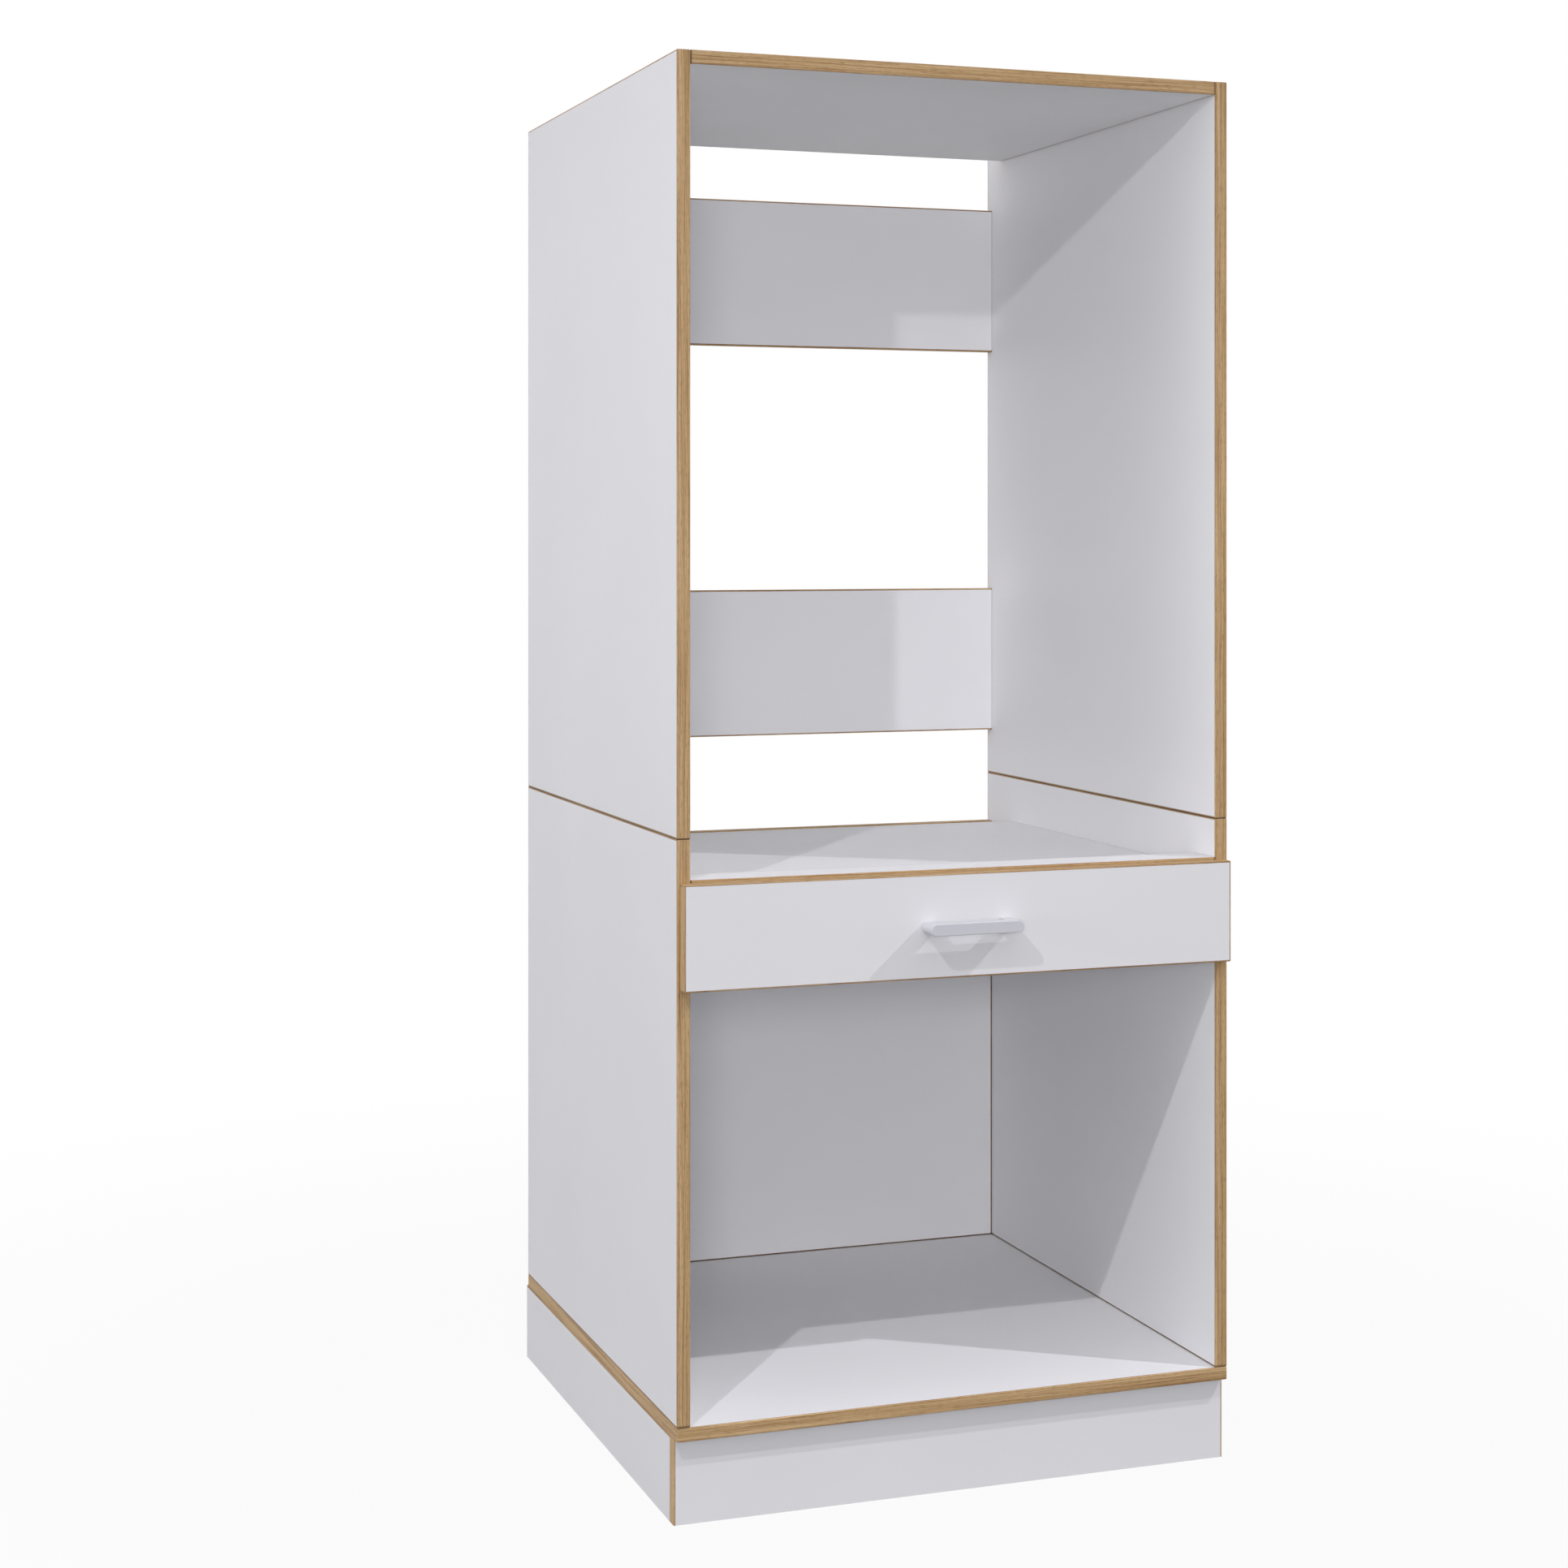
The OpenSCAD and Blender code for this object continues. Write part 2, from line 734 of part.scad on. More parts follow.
module upper_left_edging() {
    color(oak) difference() {
        as_left_side(unit_z) board_edging(upper_h, side_d, all_edges);
        upper_side_holes();
    }
}

module upper_right_side() {
    mirrored() upper_left_side();
}

module upper_right_edging() {
    mirrored() upper_left_edging();
}

module top_plate() {
    color(white) difference() {
        translate([-inner_w / 2, fy, top_z - board_t]) board_core(inner_w, top_d, all_edges);
        both() left_end_holes(top_cams, top_dowels);
    }
}

module top_plate_edging() {
    color(oak) difference() {
        translate([-inner_w / 2, fy, top_z - board_t]) board_edging(inner_w, top_d, all_edges);
        both() left_end_holes(top_cams, top_dowels);
    }
}

// Back rail with its lower edge at height z
module rail_board(z, cams, pegs) {
    color(white) difference() {
        as_upright(-inner_w / 2, back_y - board_t, z) board_core(inner_w, rail_h, long_edges);
        both() left_end_holes(cams, pegs);
    }
}

module rail_edging(z) {
    color(oak)
        as_upright(-inner_w / 2, back_y - board_t, z) board_edging(inner_w, rail_h, long_edges);
}

module upper_back_rail() {
    rail_board(upper_rail_z, upper_rail_cams, upper_rail_dowels);
}

module upper_rail_edging() {
    rail_edging(upper_rail_z);
}

module lower_back_rail() {
    rail_board(lower_rail_z, lower_rail_cams, lower_rail_dowels);
}

module lower_rail_edging() {
    rail_edging(lower_rail_z);
}

// Fastener groups

all_cams = concat(shelf_cams, top_cams, back_cams, upper_rail_cams, lower_rail_cams);
all_pegs = concat(shelf_dowels, top_dowels, back_dowels, upper_rail_dowels, lower_rail_dowels);

module cam_housings() {
    color(zinc) both() for (c = all_cams) {
        translate([-inner_w / 2 + cam_in, c[0], c[1]]) rotate([c[2], 0, 0]) cam_housing();
    }
}

module cam_bolts() {
    color(steel) both() for (c = all_cams) {
        translate([-inner_w / 2, c[0], c[1]]) cam_bolt();
    }
}

module dowels() {
    color(beech) both() {
        for (p = all_pegs) translate([-inner_w / 2, p[0], p[1]]) dowel();
        unit_dowels();
        base_dowels();
    }
}

module board_screws() {
    color(zinc) {
        both() base_screws();
        strip_screws();
    }
}

// Drawer

// Screw positions on the inner face of the drawer box front
module at_front_screws() {
    for (x = [-front_screw_x, front_screw_x], z = box_screw_zs) {
        translate([x, box_front_in_y, z]) rotate([90, 0, 0]) children();
    }
}

module at_handle_screws() {
    for (x = [-handle_hole_x, handle_hole_x]) {
        translate([x, box_front_in_y, handle_z]) rotate([90, 0, 0]) children();
    }
}

module at_box_screws() {
    for (y = [front_back_y + box_t / 2, box_back_y - box_t / 2], z = box_screw_zs) {
        both() translate([-box_w / 2, y, z]) rotate([0, 90, 0]) children();
    }
}

front_screw_len = box_t + short_bite;
handle_screw_len = box_t + board_t + handle_thread;
box_screw_len = box_t + 2 * short_bite;

module front_holes() {
    at_front_screws() pan_hole(short_screw_r, front_screw_len);
    at_handle_screws() pan_hole(short_screw_r, handle_screw_len);
}

module drawer_front() {
    color(white) difference() {
        as_upright(-front_w / 2, front_face_y, front_z) board_core(front_w, front_h, all_edges);
        front_holes();
    }
}

module drawer_front_edging() {
    color(oak)
        as_upright(-front_w / 2, front_face_y, front_z) board_edging(front_w, front_h, all_edges);
}

// Groove all round for the drawer bottom
module bottom_groove() {
    w = box_in_w + 2 * groove_d;
    d = box_back_in_y - box_front_in_y + 2 * groove_d;
    translate([-w / 2, box_front_in_y - groove_d, bottom_z - groove_play])
        cube([w, d, bottom_t + 2 * groove_play]);
}

module drawer_left_side() {
    color(box_white) difference() {
        translate([-box_w / 2, front_back_y, box_z]) cube([box_t, box_d, box_h]);
        bottom_groove();
        at_box_screws() flush_screw(short_screw_r, box_screw_len, hole_fit);
        member_screw_places() pan_hole(runner_screw_r, runner_sheet + member_bite);
    }
}

module drawer_right_side() {
    mirrored() drawer_left_side();
}

module drawer_box_front() {
    color(box_white) difference() {
        translate([-box_in_w / 2, front_back_y, box_z]) cube([box_in_w, box_t, box_h]);
        bottom_groove();
        at_box_screws() flush_screw(short_screw_r, box_screw_len, hole_fit);
        front_holes();
    }
}

module drawer_box_back() {
    color(box_white) difference() {
        translate([-box_in_w / 2, box_back_in_y, box_z]) cube([box_in_w, box_t, box_h]);
        bottom_groove();
        at_box_screws() flush_screw(short_screw_r, box_screw_len, hole_fit);
    }
}

module drawer_bottom() {
    tongue = groove_d - groove_play;
    w = box_in_w + 2 * tongue;
    d = box_back_in_y - box_front_in_y + 2 * tongue;
    color(box_white)
        translate([-w / 2, box_front_in_y - tongue, bottom_z]) cube([w, d, bottom_t]);
}

module drawer_box_screws() {
    color(zinc) at_box_screws() flush_screw(short_screw_r, box_screw_len);
}

module drawer_front_screws() {
    color(zinc) at_front_screws() pan_screw(short_screw_r, front_screw_len);
}

// Handle

end_r = handle_h / 2;
leg_x = handle_w / 2 - handle_leg_w;
grip_d = handle_out - handle_bar_d;

// Half of the handle's section, from its middle line outwards, with a rounded front rim
module handle_half() {
    square([end_r - handle_rim, handle_out]);
    square([end_r, handle_out - handle_rim]);
    translate([end_r - handle_rim, handle_out - handle_rim]) circle(handle_rim);
}

// Long handle shape with round ends, standing on its back, the front face up
module handle_body() {
    mid = handle_w - handle_h;
    rotate([90, 0, 90]) translate([0, 0, -mid / 2]) linear_extrude(mid) {
        handle_half();
        mirror([1, 0]) handle_half();
    }
    translate([mid / 2, 0, 0]) rotate([0, 0, -90]) rotate_extrude(angle = 180) handle_half();
    translate([-mid / 2, 0, 0]) rotate([0, 0, 90]) rotate_extrude(angle = 180) handle_half();
}

// Opening behind the grip bar, rounded where the bar meets the legs
module grip_opening() {
    r = min(handle_inner_r, grip_d - over);
    translate([0, front_face_y, handle_z - end_r - over]) linear_extrude(handle_h + 2 * over) {
        translate([-leg_x, -grip_d + r]) square([2 * leg_x, grip_d - r + over]);
        translate([-leg_x + r, -grip_d]) square([2 * (leg_x - r), grip_d]);
        for (x = [-leg_x + r, leg_x - r]) translate([x, -grip_d + r]) circle(r);
    }
}

module handle() {
    color(white) difference() {
        translate([0, front_face_y, handle_z]) rotate([90, 0, 0]) handle_body();
        grip_opening();
        at_handle_screws() pan_hole(short_screw_r, handle_screw_len);
    }
}

module handle_screws() {
    color(zinc) at_handle_screws() pan_screw(short_screw_r, handle_screw_len, true);
}

// Runners

// Runner frame at the left side: X is u, Z is v, and Y = 0 is the front end of the runner
module at_left_runner(y) {
    translate([-inner_w / 2, y, runner_z]) children();
}

// Inner outline of a channel's upper flange, from its tip to its web, with a lip where it has one
function flange_points(u, v, sheet, reach, lip) = concat(
    lip > 0 ? [[reach, v - sheet - lip], [reach - sheet / 2, v - sheet - lip]] : [],
    [[lip > 0 ? reach - sheet / 2 : reach, v - sheet], [u + sheet, v - sheet]]
);

// Channel along Y with its web at low u, flanges out to reach and lips of the given height
module channel(u, v, sheet, reach, lip, length) {
    upper = flange_points(u, v, sheet, reach, lip);
    lower = [for (k = [len(upper) - 1 : -1 : 0]) [upper[k][0], -upper[k][1]]];
    translate([0, length, 0]) rotate([90, 0, 0]) linear_extrude(length)
        polygon(concat([[u, v], [reach, v]], upper, lower, [[reach, -v], [u, -v]]));
}

// Steps along a member, from an inset at each end and in the middle
function screw_steps(inset) = [inset, runner_len / 2, runner_len - inset];

// Screws of the left cabinet member, into the side
module cabinet_screws(grow = 0) {
    at_left_runner(runner_y) for (v = screw_steps(runner_screw_in)) {
        translate([runner_sheet, v, 0])
            rotate([0, -90, 0]) flush_screw(runner_screw_r, runner_sheet + runner_bite, grow);
    }
}

module member_screw_places() {
    at_left_runner(runner_y) for (v = screw_steps(member_screw_in)) {
        translate([runner_w - runner_sheet, v, 0]) rotate([0, 90, 0]) children();
    }
}

module runner_cabinet_left() {
    color(steel) difference() {
        at_left_runner(runner_y)
            channel(0, cabinet_v, runner_sheet, runner_flange, runner_lip, runner_len);
        cabinet_screws(hole_fit);
    }
}

module runner_cabinet_right() {
    mirrored() runner_cabinet_left();
}

module runner_cabinet_screws() {
    color(zinc) both() cabinet_screws();
}

module runner_middle_left() {
    color(steel) at_left_runner(runner_y) difference() {
        channel(middle_u, middle_v, runner_sheet, runner_flange, runner_lip, runner_len);
        for (v = screw_steps(member_screw_in)) {
            translate([middle_u - over, v, 0])
                rotate([0, 90, 0]) cylinder(r = access_r, h = runner_sheet + 2 * over);
        }
    }
}

module runner_middle_right() {
    mirrored() runner_middle_left();
}

// The drawer member opens towards the cabinet side
module runner_drawer_left() {
    color(steel) difference() {
        at_left_runner(runner_y)
            translate([runner_w, 0, 0]) mirrored()
                channel(0, member_v, runner_sheet, runner_w - member_u, 0, runner_len);
        member_screw_places() pan_hole(runner_screw_r, runner_sheet + member_bite);
    }
}

module runner_drawer_right() {
    mirrored() runner_drawer_left();
}

module runner_drawer_screws() {
    color(zinc) both() member_screw_places() pan_screw(runner_screw_r, runner_sheet + member_bite);
}

// Places of the balls in one cage, top and bottom row
module ball_places(u, v) {
    for (k = [0 : ball_n - 1], s = [-1, 1]) {
        translate([u, ball_end + k * ball_pitch, s * v]) children();
    }
}

// Ball cage with its balls: web at u, both rows of balls at ball_u and v
module ball_cage(u, v, ball_u) {
    at_left_runner(cage_y) {
        difference() {
            channel(u, v + cage_sheet / 2, cage_sheet, ball_u + cage_lip, 0, cage_len);
            ball_places(ball_u, v)
                translate([0, 0, -cage_sheet]) cylinder(r = ball_r + hole_fit, h = 2 * cage_sheet);
        }
        ball_places(ball_u, v) sphere(ball_r);
    }
}

module outer_cage_left() {
    color(steel) ball_cage(outer_cage_u, outer_ball_v, outer_ball_u);
}

module outer_cage_right() {
    mirrored() outer_cage_left();
}

module inner_cage_left() {
    color(steel) ball_cage(inner_cage_u, inner_ball_v, inner_ball_u);
}

module inner_cage_right() {
    mirrored() inner_cage_left();
}

// Assembly

plinth_front();
plinth_front_edging();
plinth_left();
plinth_left_edging();
plinth_right();
plinth_right_edging();
plinth_back();
plinth_back_edging();
plinth_corner_blocks();
plinth_block_screws();
bottom_plate();
bottom_plate_edging();
lower_left_side();
lower_left_edging();
lower_right_side();
lower_right_edging();
lower_back_panel();
lower_back_edging();
machine_shelf();
machine_shelf_edging();
stop_strip();
stop_strip_edging();
upper_left_side();
upper_left_edging();
upper_right_side();
upper_right_edging();
top_plate();
top_plate_edging();
upper_back_rail();
upper_rail_edging();
lower_back_rail();
lower_rail_edging();
cam_housings();
cam_bolts();
dowels();
board_screws();
drawer_front();
drawer_front_edging();
drawer_left_side();
drawer_right_side();
drawer_box_front();
drawer_box_back();
drawer_bottom();
drawer_box_screws();
drawer_front_screws();
handle();
handle_screws();
runner_cabinet_left();
runner_cabinet_right();
runner_cabinet_screws();
runner_middle_left();
runner_middle_right();
runner_drawer_left();
runner_drawer_right();
runner_drawer_screws();
outer_cage_left();
outer_cage_right();
inner_cage_left();
inner_cage_right();
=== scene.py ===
"""Looks of a washing machine cabinet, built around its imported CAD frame.

All places and sizes are in metres: X to the right, the front faces -Y, Z up from the floor.
"""

import logging
import math
from collections.abc import Callable, Iterator, Mapping
from contextlib import contextmanager
from dataclasses import dataclass, replace
from enum import Enum
from typing import Any

import bmesh
import bpy
from mathutils import Euler, Matrix, Vector


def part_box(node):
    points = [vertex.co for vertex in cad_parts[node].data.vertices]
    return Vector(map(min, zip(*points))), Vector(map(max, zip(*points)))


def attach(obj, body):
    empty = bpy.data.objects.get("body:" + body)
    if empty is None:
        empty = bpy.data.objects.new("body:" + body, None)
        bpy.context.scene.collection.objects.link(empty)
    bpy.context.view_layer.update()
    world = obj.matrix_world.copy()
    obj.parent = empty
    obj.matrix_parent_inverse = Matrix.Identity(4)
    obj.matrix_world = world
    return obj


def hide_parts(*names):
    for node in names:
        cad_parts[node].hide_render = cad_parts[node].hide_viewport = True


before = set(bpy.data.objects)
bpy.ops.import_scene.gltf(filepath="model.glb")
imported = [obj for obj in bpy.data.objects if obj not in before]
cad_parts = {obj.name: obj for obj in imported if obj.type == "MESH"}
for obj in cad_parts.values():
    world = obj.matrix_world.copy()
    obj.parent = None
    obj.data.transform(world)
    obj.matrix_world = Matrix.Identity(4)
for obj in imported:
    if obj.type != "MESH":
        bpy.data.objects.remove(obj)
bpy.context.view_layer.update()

log = logging.getLogger("cabinet")

# Places closer to each other than this count as one
HAIR = 1e-5
# Edges sharper than this are broken, and they stay sharp when a piece is shaded
HARD_ANGLE = math.radians(35)

Piece = bpy.types.Object
Edge = bmesh.types.BMEdge
Socket = bpy.types.NodeSocket
RGB = tuple[float, float, float]
# A socket to link to an input, or a value to set on it
Feed = Any
# Places of equal pieces, each with the way that the piece points
Places = list[tuple[Vector, Vector]]


class Axis(Enum):
    """Directions of the cabinet: width, depth and height."""

    X = 0
    Y = 1
    Z = 2


class Side(Enum):
    """The two sides of the cabinet, by the sign of their X."""

    LEFT = -1
    RIGHT = 1

    def of(self, name: str) -> str:
        """Return the name of a node or body on this side."""
        return f"{name}_{self.name.lower()}"


class Slot(Enum):
    """Material slots of the record."""

    WHITE_BOARD = "white_board"
    OAK_EDGING = "oak_edging"
    DRAWER_BOARD = "drawer_board"
    BEECH = "beech"
    ZINC = "zinc"
    RUNNER_STEEL = "runner_steel"
    HANDLE_WHITE = "handle_white"


# Modelling


def clear_selection() -> None:
    """Deselect everything, so that an operator acts on new work alone."""
    bpy.ops.object.select_all(action="DESELECT")


def pick(*objects: Piece) -> None:
    """Select these objects alone, with the first one active.

    Args:
        objects: The objects to select.
    """
    clear_selection()
    for item in objects:
        item.select_set(True)
    bpy.context.view_layer.objects.active = objects[0]


def settle(name: str) -> Piece:
    """Name the primitive just added and move its place into its mesh.

    Args:
        name: Name of the new piece.

    Returns:
        The primitive's object, at the origin, unturned and unscaled.
    """
    piece = bpy.context.object
    piece.name = name
    pick(piece)
    bpy.ops.object.transform_apply(location=True, rotation=True, scale=True)
    return piece


def add_block(name: str, low: Vector, high: Vector) -> Piece:
    """Add a block between two corners.

    Args:
        name: Name of the block.
        low: Its lowest corner.
        high: Its highest corner.

    Returns:
        The block.
    """
    clear_selection()
    bpy.ops.mesh.primitive_cube_add(size=1, location=(low + high) / 2)
    bpy.context.object.scale = high - low
    return settle(name)


@contextmanager
def editing(piece: Piece, mode: str = "EDGE") -> Iterator[bmesh.types.BMesh]:
    """Open a piece in edit mode with nothing selected.

    Args:
        piece: The piece to shape.
        mode: What is selected, VERT, EDGE or FACE.

    Yields:
        The mesh being edited.
    """
    pick(piece)
    bpy.ops.object.mode_set(mode="EDIT")
    bpy.ops.mesh.select_mode(type=mode)
    bpy.ops.mesh.select_all(action="DESELECT")
    yield bmesh.from_edit_mesh(piece.data)
    bpy.ops.object.mode_set(mode="OBJECT")


def select_where(piece: Piece, parts: Any, wanted: Callable[[Any], bool]) -> None:
    """Select the vertices, edges or faces of an edited piece that are wanted.

    Args:
        piece: The piece in edit mode.
        parts: Its vertices, edges or faces.
        wanted: Tells whether one of them is selected.
    """
    for part in parts:
        part.select_set(wanted(part))
    bmesh.update_edit_mesh(piece.data)


def lies_at(edge: Edge, axis: Axis, place: float) -> bool:
    """Tell whether both ends of an edge lie at a place along an axis."""
    return all(abs(end.co[axis.value] - place) < HAIR for end in edge.verts)


def runs(edge: Edge, axis: Axis) -> bool:
    """Tell whether an edge has a length along an axis."""
    first, second = (end.co[axis.value] for end in edge.verts)
    return abs(first - second) > HAIR


def round_edges(piece: Piece, radius: float, steps: int, wanted: Callable[[Edge], bool]) -> None:
    """Round the edges of a piece that are wanted.

    Args:
        piece: The piece to shape.
        radius: Radius of the rounding.
        steps: Faces across it.
        wanted: Tells whether an edge is rounded.
    """
    with editing(piece) as mesh:
        select_where(piece, mesh.edges, wanted)
        bpy.ops.mesh.bevel(offset=radius, segments=steps, affect="EDGES")


def face_outwards(piece: Piece) -> None:
    """Merge doubles and turn all faces of a piece outwards.

    Args:
        piece: The piece to finish.
    """
    with editing(piece, "VERT"):
        bpy.ops.mesh.select_all(action="SELECT")
        bpy.ops.mesh.remove_doubles(threshold=HAIR / 10)
        bpy.ops.mesh.normals_make_consistent(inside=False)


def modify(piece: Piece, kind: str, **settings: Any) -> None:
    """Add a modifier to a piece and apply it.

    Args:
        piece: The piece to change.
        kind: Type of the modifier.
        settings: Its settings by name.
    """
    pick(piece)
    modifier = piece.modifiers.new(kind.title(), kind)
    for name, value in settings.items():
        setattr(modifier, name, value)
    bpy.ops.object.modifier_apply(modifier=modifier.name)


def cut(piece: Piece, tool: Piece) -> None:
    """Cut a tool's shape out of a piece and remove the tool."""
    modify(piece, "BOOLEAN", operation="DIFFERENCE", solver="EXACT", object=tool)
    bpy.data.objects.remove(tool)


def cut_cross(piece: Piece, top: float, half: Vector) -> None:
    """Cut a cross into the top of a shape that stands on the Z axis.

    Args:
        piece: The shape.
        top: Height of its top.
        half: Half of the length and width of the cross's bars, and their depth.
    """
    middle = Vector((0, 0, top))
    for bar in (half, half.yxz):
        cut(piece, add_block("cross", middle - bar, middle + bar))


def soften(piece: Piece, radius: float, steps: int = 2) -> None:
    """Break all hard edges of a piece.

    Args:
        piece: The piece to finish.
        radius: Radius of the broken edges.
        steps: Faces across them.
    """
    limits = {"limit_method": "ANGLE", "angle_limit": HARD_ANGLE, "use_clamp_overlap": True}
    modify(piece, "BEVEL", width=radius, segments=steps, **limits)


def shade(piece: Piece) -> None:
    """Shade a piece smooth across its roundings and flat on its faces.

    Args:
        piece: The piece to shade.
    """
    pick(piece)
    bpy.ops.object.shade_smooth_by_angle(angle=HARD_ANGLE)
    modify(piece, "WEIGHTED_NORMAL", keep_sharp=True)


def join(name: str, pieces: list[Piece]) -> Piece:
    """Join pieces into one.

    Args:
        name: Name of the joined piece.
        pieces: The pieces, which become one mesh.

    Returns:
        The joined piece.
    """
    pick(*pieces)
    if len(pieces) > 1:
        bpy.ops.object.join()
    pieces[0].name = name
    return pieces[0]


def repeat(master: Piece, name: str, places: list[Matrix]) -> Piece:
    """Copy a modelled shape to all its places, remove it and join the copies.

    Args:
        master: The shape, modelled at the origin.
        name: Name of the joined piece.
        places: Where the copies go, as matrices without mirroring.

    Returns:
        The joined copies.
    """
    copies = []
    for place in places:
        piece = master.copy()
        piece.data = master.data.copy()
        piece.data.transform(place)
        bpy.context.scene.collection.objects.link(piece)
        copies.append(piece)
    bpy.data.objects.remove(master)
    return join(name, copies)


def facing(place: Vector, way: Vector) -> Matrix:
    """Return the matrix that lays a shape's +Z along a way, at a place."""
    return Matrix.Translation(place) @ way.to_track_quat("Z", "Y").to_matrix().to_4x4()


def turned(name: str, stations: list[tuple[float, float]], vertices: int = 32) -> Piece:
    """Make a round shape on the Z axis by extruding a disc from station to station.

    Args:
        name: Name of the shape.
        stations: Height and radius of each ring, from one end to the other.
        vertices: Vertices of each ring.

    Returns:
        The closed shape.
    """
    height, radius = stations[0]
    clear_selection()
    bpy.ops.mesh.primitive_circle_add(
        vertices=vertices, radius=radius, fill_type="NGON", location=(0, 0, height)
    )
    piece = settle(name)
    with editing(piece, "FACE"):
        bpy.ops.mesh.select_all(action="SELECT")
        for next_height, next_radius in stations[1:]:
            rise = (0, 0, next_height - height)
            bpy.ops.mesh.extrude_region_move(TRANSFORM_OT_translate={"value": rise})
            factor = next_radius / radius
            bpy.ops.transform.resize(
                value=(factor, factor, 1), center_override=(0, 0, next_height)
            )
            height, radius = next_height, next_radius
    face_outwards(piece)
    return piece


# Shading


def rgba(colour: Feed) -> Feed:
    """Add full opacity to a plain colour and leave a socket as it is."""
    return (*colour, 1.0) if isinstance(colour, tuple) else colour


def screen(red: int, green: int, blue: int) -> RGB:
    """Turn a colour as seen on a screen, from 0 to 255, into a linear one."""
    shares = (red / 255, green / 255, blue / 255)
    return tuple(c / 12.92 if c <= 0.04045 else ((c + 0.055) / 1.055) ** 2.4 for c in shares)


class Tree:
    """A node tree with short ways to add and link its nodes."""

    # Part of a noise's range that holds most of its values
    cloud_range = (0.3, 0.7)

    def __init__(self, tree: bpy.types.NodeTree) -> None:
        """Keep the tree to work on."""
        self.tree = tree

    @classmethod
    def of(cls, owner: Any) -> "Tree":
        """Open the emptied node tree of a material, a light or a world.

        Args:
            owner: What the tree belongs to.

        Returns:
            Its tree, with no nodes.
        """
        owner.use_nodes = True
        owner.node_tree.nodes.clear()
        return cls(owner.node_tree)

    def add(
        self, kind: str, feeds: Mapping[str | int, Feed] | None = None, **settings: Any
    ) -> bpy.types.Node:
        """Add a node.

        Args:
            kind: Type of the node.
            feeds: Sockets to link or values to set, by the input's name or number.
            settings: Settings of the node by name.

        Returns:
            The node.
        """
        node = self.tree.nodes.new(kind)
        for name, value in settings.items():
            setattr(node, name, value)
        for key, value in (feeds or {}).items():
            if isinstance(value, Socket):
                self.tree.links.new(value, node.inputs[key])
            else:
                node.inputs[key].default_value = value
        return node

    def math(self, operation: str, first: Feed, second: Feed = 0.0, clamp: bool = False) -> Socket:
        """Add a function of two numbers.

        Args:
            operation: Name of the function.
            first: First number or socket.
            second: Second number or socket.
            clamp: Whether the result is kept between 0 and 1.

        Returns:
            The result's socket.
        """
        feeds = {0: first, 1: second}
        return self.add("ShaderNodeMath", feeds, operation=operation, use_clamp=clamp).outputs[0]

    def times(self, first: Feed, second: Feed) -> Socket:
        """Multiply two numbers."""
        return self.math("MULTIPLY", first, second)

    def vector(self, operation: str, feeds: Mapping[int, Feed]) -> Any:
        """Add a function of vectors and return its outputs, a vector and a number."""
        return self.add("ShaderNodeVectorMath", feeds, operation=operation).outputs

    def stretch(self, vector: Feed, factors: RGB) -> Socket:
        """Stretch a vector by one factor along each axis."""
        return self.vector("MULTIPLY", {0: vector, 1: factors})[0]

    def scale(self, vector: Feed, factor: Feed) -> Socket:
        """Scale a vector by one factor along all axes."""
        return self.vector("SCALE", {0: vector, 3: factor})[0]

    def axes(self, vector: Feed) -> Any:
        """Split a vector into its three numbers."""
        return self.add("ShaderNodeSeparateXYZ", {0: vector}).outputs

    def unite(self, *numbers: Feed) -> Socket:
        """Make a vector of three numbers."""
        return self.add("ShaderNodeCombineXYZ", dict(enumerate(numbers))).outputs[0]

    def place(self) -> Socket:
        """Return the socket of the piece's own coordinates, in metres."""
        return self.add("ShaderNodeTexCoord").outputs["Object"]

    def span(
        self, value: Feed, low: float, high: float, to_low: float = 0.0, to_high: float = 1.0
    ) -> Socket:
        """Stretch a range of a number to another range and keep it inside.

        Args:
            value: The number's socket.
            low: Start of its range.
            high: End of its range.
            to_low: Result at the start.
            to_high: Result at the end.

        Returns:
            The result's socket.
        """
        ends = {"From Min": low, "From Max": high, "To Min": to_low, "To Max": to_high}
        return self.add("ShaderNodeMapRange", {"Value": value, **ends}).outputs["Result"]

    def mix(self, factor: Feed, first: Feed, second: Feed) -> Socket:
        """Mix two colours, the factor being the share of the second one."""
        feeds = {0: factor, 6: rgba(first), 7: rgba(second)}
        return self.add("ShaderNodeMix", feeds, data_type="RGBA").outputs[2]

    def noise(
        self, vector: Feed, scale: float, detail: float = 2.0, roughness: float = 0.5
    ) -> Socket:
        """Add soft noise.

        Args:
            vector: Where it is read.
            scale: Waves per metre.
            detail: Number of finer layers.
            roughness: Strength of the finer layers.

        Returns:
            The noise's socket, from 0 to 1.
        """
        feeds = {"Vector": vector, "Scale": scale, "Detail": detail, "Roughness": roughness}
        return self.add("ShaderNodeTexNoise", feeds).outputs["Fac"]

    def clouds(self, vector: Feed, scale: float, detail: float) -> Socket:
        """Add noise whose values are spread over the whole range from 0 to 1."""
        return self.span(self.noise(vector, scale, detail), *self.cloud_range)

    def bump(self, height: Feed, depth: float, strength: float) -> Socket:
        """Turn a height into a bumped normal, with the bumps' depth in metres."""
        feeds = {"Height": height, "Distance": depth, "Strength": strength}
        return self.add("ShaderNodeBump", feeds).outputs["Normal"]


